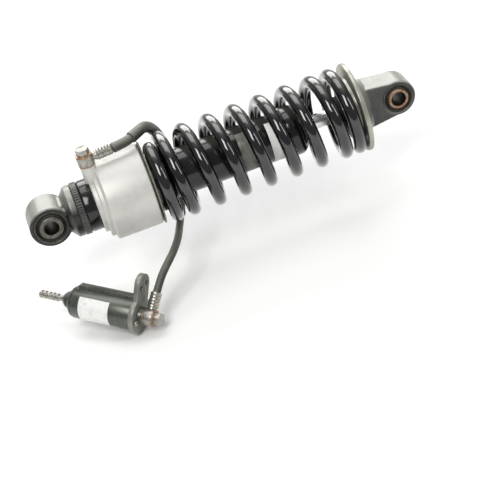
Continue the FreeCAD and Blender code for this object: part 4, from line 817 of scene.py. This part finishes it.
def spring_mesh(per_turn=88, around=40):
    """The wound wire: closed turns at both ends, an even pitch between, the ends ground flat."""
    low = SPRING_SEAT + WIRE_RADIUS + SEAT_GAP
    length = SPRING_TOP - WIRE_RADIUS - SEAT_GAP - low
    ends = 2 * (CLOSED_TURNS * CLOSED_PITCH + BLEND_TURNS * CLOSED_PITCH / 2)
    open_pitch = (length - ends) / (SPRING_TURNS - 2 * CLOSED_TURNS - BLEND_TURNS)
    count = int(SPRING_TURNS * per_turn)
    points = []
    for step in range(count + 1):
        turn = SPRING_TURNS * step / count
        if turn <= SPRING_TURNS / 2:
            advance = spring_advance(turn, open_pitch)
        else:
            advance = length - spring_advance(SPRING_TURNS - turn, open_pitch)
        angle = math.radians(SPRING_START + 360 * turn)
        across, up = SPRING_RADIUS * math.cos(angle), SPRING_RADIUS * math.sin(angle)
        points.append(Vector((low + advance, across, up)) * MM)

    def wire(share, length_m):
        place = min(share, 1 - share) * length_m / MM
        return (WIRE_RADIUS - END_TAPER * math.exp(-place / END_TAPER_LENGTH)) * MM

    mesh = tube_mesh(points, wire, around)
    for vertex in mesh.vertices:    # ends ground flat where they bear on their seats
        vertex.co.x = min(max(vertex.co.x, (SPRING_SEAT + GROUND_GAP) * MM), (SPRING_TOP - GROUND_GAP) * MM)
    return mesh


def add_spring():
    """The wound spring, set between the lower seat and the retainer; it is fixed in place and rides with no
    body.
    """
    spring = new_piece("coil_spring.wound", spring_mesh(), "coil_spring", TUBE_ANGLE, rides=False)
    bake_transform(spring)


# ------------------------------------------------------------------------------------------
# Soft parts and films
# ------------------------------------------------------------------------------------------
SOFT_ANGLE = 60.0           # degrees: soft parts keep only edges sharper than this

LIP_INSET = 0.8             # how far inside the eye's faces the rubber's bonded lips end
HOLLOW_INSET = 2.6          # and the floor of the hollow between them

TUBE_RADIUS = 21.5
LABEL_RADIUS = 21.7
LABEL_START, LABEL_SWEEP = 112.0, 116.0     # degrees, from +Y towards +Z
ADJUSTER_YAW = math.radians(-41.5)
ADJUSTER_DIP = math.radians(8.65)
LABEL_SHIFT = 8.5           # how much nearer its bracket the adjuster's label is stuck


def turn_to_y(mesh, centre_x):
    """Moves a mesh lathed about X to stand about the Y axis at centre_x, in millimetres."""
    mesh.transform(Matrix(((0, -1, 0, centre_x * MM), (1, 0, 0, 0), (0, 0, 1, 0), (0, 0, 0, 1))))
    return mesh


def add_bush_rubber(node, centre_x, half, bore, sleeve):
    """Bonded rubber between the shell and the sleeve, hollowed between its two bonded lips."""
    near, deep = half - LIP_INSET, half - HOLLOW_INSET
    outline = [(-near, bore), (-near - 0.35, bore - 0.5), (-near - 0.1, bore - 1.0), (-deep, bore - 1.5),
               (-deep, sleeve + 1.3), (-near - 0.3, sleeve + 0.7), (-near - 0.5, sleeve + 0.3),
               (-near - 0.3, sleeve)]
    outline = outline + [(-x, radius) for x, radius in reversed(outline)]
    mesh = lathe(rounded(outline, 0.35, 3), 112)
    new_piece(f"{node}.moulded", turn_to_y(mesh, centre_x), node, SOFT_ANGLE)


def add_label(node, near, far):
    """Blank film wrapped on the front of the damper tube, with softly worn edges."""
    corners = [(near, TUBE_RADIUS), (near, LABEL_RADIUS), (far, LABEL_RADIUS), (far, TUBE_RADIUS)]
    mesh = lathe(rounded(corners, 0.1, 2), 72, math.radians(LABEL_START), math.radians(LABEL_SWEEP))
    new_piece(f"{node}.film", mesh, node)


def add_adjuster_label():
    """The adjuster's blank label, slid along the housing towards the bracket."""
    mesh = frame["nodes"]["adjuster_label"].data.copy()
    along = Vector((math.cos(ADJUSTER_DIP) * math.cos(ADJUSTER_YAW),
                    math.cos(ADJUSTER_DIP) * math.sin(ADJUSTER_YAW),
                    -math.sin(ADJUSTER_DIP)))
    mesh.transform(Matrix.Translation(along * LABEL_SHIFT * MM))
    new_piece("adjuster_label.film", mesh, "adjuster_label")


def add_bump_stop():
    """Microcellular bump stop with a waist, standing on the rod casting's hub."""
    outline = [(271.0, 7.2), (290.9, 7.2), (290.9, 15.2), (286.0, 15.4), (284.5, 15.4), (283.0, 13.7),
               (281.0, 15.4), (276.5, 15.2), (271.6, 11.8), (271.0, 10.6)]
    mesh = lathe(rounded(outline, 1.2, 5), 96)
    stop = new_piece("bump_stop.moulded", mesh, "bump_stop", SOFT_ANGLE)
    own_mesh(stop)


# ------------------------------------------------------------------------------------------
# Making
# ------------------------------------------------------------------------------------------
CAST_NODES = {"body_eye_casting": 0.7, "rod_eye_casting": 0.7}    # size of the even mesh, in millimetres
FINISHED_NODES = {          # width of the broken edge, in millimetres
    "damper_tube": 0.3, "tube_end_cap": 0.4, "preload_stop_ring": 0.4, "preload_cylinder": 0.35,
    "preload_piston": 0.3, "spring_isolator": 0.4, "spring_retainer": 0.35,
    "body_bush_shell": 0.25, "rod_bush_shell": 0.25, "body_bush_sleeve": 0.35, "rod_bush_sleeve": 0.35,
    "upper_banjo": 0.4, "lower_banjo": 0.4, "upper_banjo_bolt": 0.35, "lower_banjo_bolt": 0.35,
    "bleed_screw": 0.3, "bracket_screws": 0.3, "adjuster_housing": 0.5, "adjuster_cap": 0.4,
    "adjuster_gland_nut": 0.4, "adjuster_bracket": 0.5, "adjuster_screw": 0.3,
    "upper_banjo_washers": 0.2, "lower_banjo_washers": 0.2, "gas_fill_plug": 0.3,
}


def dress_frame():
    """Gives every CAD node that is still shown the material of its slot."""
    for node, item in frame["nodes"].items():
        item.data.materials.clear()
        item.data.materials.append(material_of(node))


FLOOR_HEIGHT = cad_box[0][2] - 0.0002       # metres, as all of the floor's sizes
FLOOR_REACH = 4.0
FLOOR_FRONT, FLOOR_BACK, FLOOR_TOP = -3.0, 2.6, 3.2
SWEEP_RADIUS = 0.9
SWEEP_STEPS = 6


def add_floor():
    """Pale paper sweep: a flat floor that curves up far behind the object."""
    work = bmesh.new()
    profile = [(FLOOR_FRONT, 0.0), (FLOOR_BACK, 0.0)]
    for step in range(1, SWEEP_STEPS + 1):
        turn = math.radians(90 / SWEEP_STEPS * step)
        profile.append((FLOOR_BACK + SWEEP_RADIUS * math.sin(turn), SWEEP_RADIUS * (1 - math.cos(turn))))
    profile.append((FLOOR_BACK + SWEEP_RADIUS, FLOOR_TOP))
    rows = [[work.verts.new((side * FLOOR_REACH, y, FLOOR_HEIGHT + z)) for side in (-1, 1)]
            for y, z in profile]
    for here, there in zip(rows, rows[1:]):
        work.faces.new((here[0], here[1], there[1], there[0]))
    mesh = bpy.data.meshes.new("floor")
    work.to_mesh(mesh)
    work.free()
    mesh.materials.append(floor_paper())
    mesh.shade_smooth()
    floor = bpy.data.objects.new("floor", mesh)
    scene.collection.objects.link(floor)


LIGHT_TARGET = (0.16, 0, 0)
LIGHTS = (                  # name, place and size in metres, watts, colour
    ("key", (-0.5, -1.15, 1.45), (0.75, 1.0), 21, (1.0, 0.99, 0.97)),
    ("top", (0.2, 0.45, 1.9), (1.9, 1.1), 17, (0.98, 0.99, 1.0)),
    ("back", (0.3, 2.1, 1.5), (2.4, 1.3), 42, (1.0, 1.0, 0.99)),
    ("side", (1.3, -0.9, 0.9), (0.3, 0.9), 5, (1.0, 1.0, 1.0)),
)
WORLD_COLOUR = (0.95, 0.97, 1.0, 1)
WORLD_STRENGTH = 0.27


def add_lights():
    """Softboxes all round, so that gloss shows long soft streaks, under a dim even world."""
    for name, place, size, power, colour in LIGHTS:
        data = bpy.data.lights.new(name, "AREA")
        data.shape = "RECTANGLE"
        data.size, data.size_y = size
        data.energy = power
        data.color = colour
        light = bpy.data.objects.new(name, data)
        light.location = place
        light.rotation_euler = (Vector(LIGHT_TARGET) - Vector(place)).to_track_quat("-Z", "Y").to_euler()
        scene.collection.objects.link(light)
    world = bpy.data.worlds.new("studio")
    world.use_nodes = True
    background = world.node_tree.nodes["Background"]
    background.inputs["Color"].default_value = WORLD_COLOUR
    background.inputs["Strength"].default_value = WORLD_STRENGTH
    scene.world = world
    scene.view_settings.view_transform = "Standard"


add_camera()
materials = make_materials()
wear_and_painted_light = own_materials()
add_hose()
add_spring()
add_bush_rubber("body_bush_rubber", BODY_EYE, half=15.5, bore=14.4, sleeve=11.0)
add_bush_rubber("rod_bush_rubber", ROD_EYE, half=13.0, bore=13.0, sleeve=9.6)
add_bump_stop()
add_label("data_label", 208.0, 220.0)
add_label("inspection_label", 180.0, 192.0)
add_adjuster_label()
for node, voxel in CAST_NODES.items():
    cast(node, voxel)
for node, width in FINISHED_NODES.items():
    bevelled(node, width)
dress_frame()
add_floor()
add_lights()
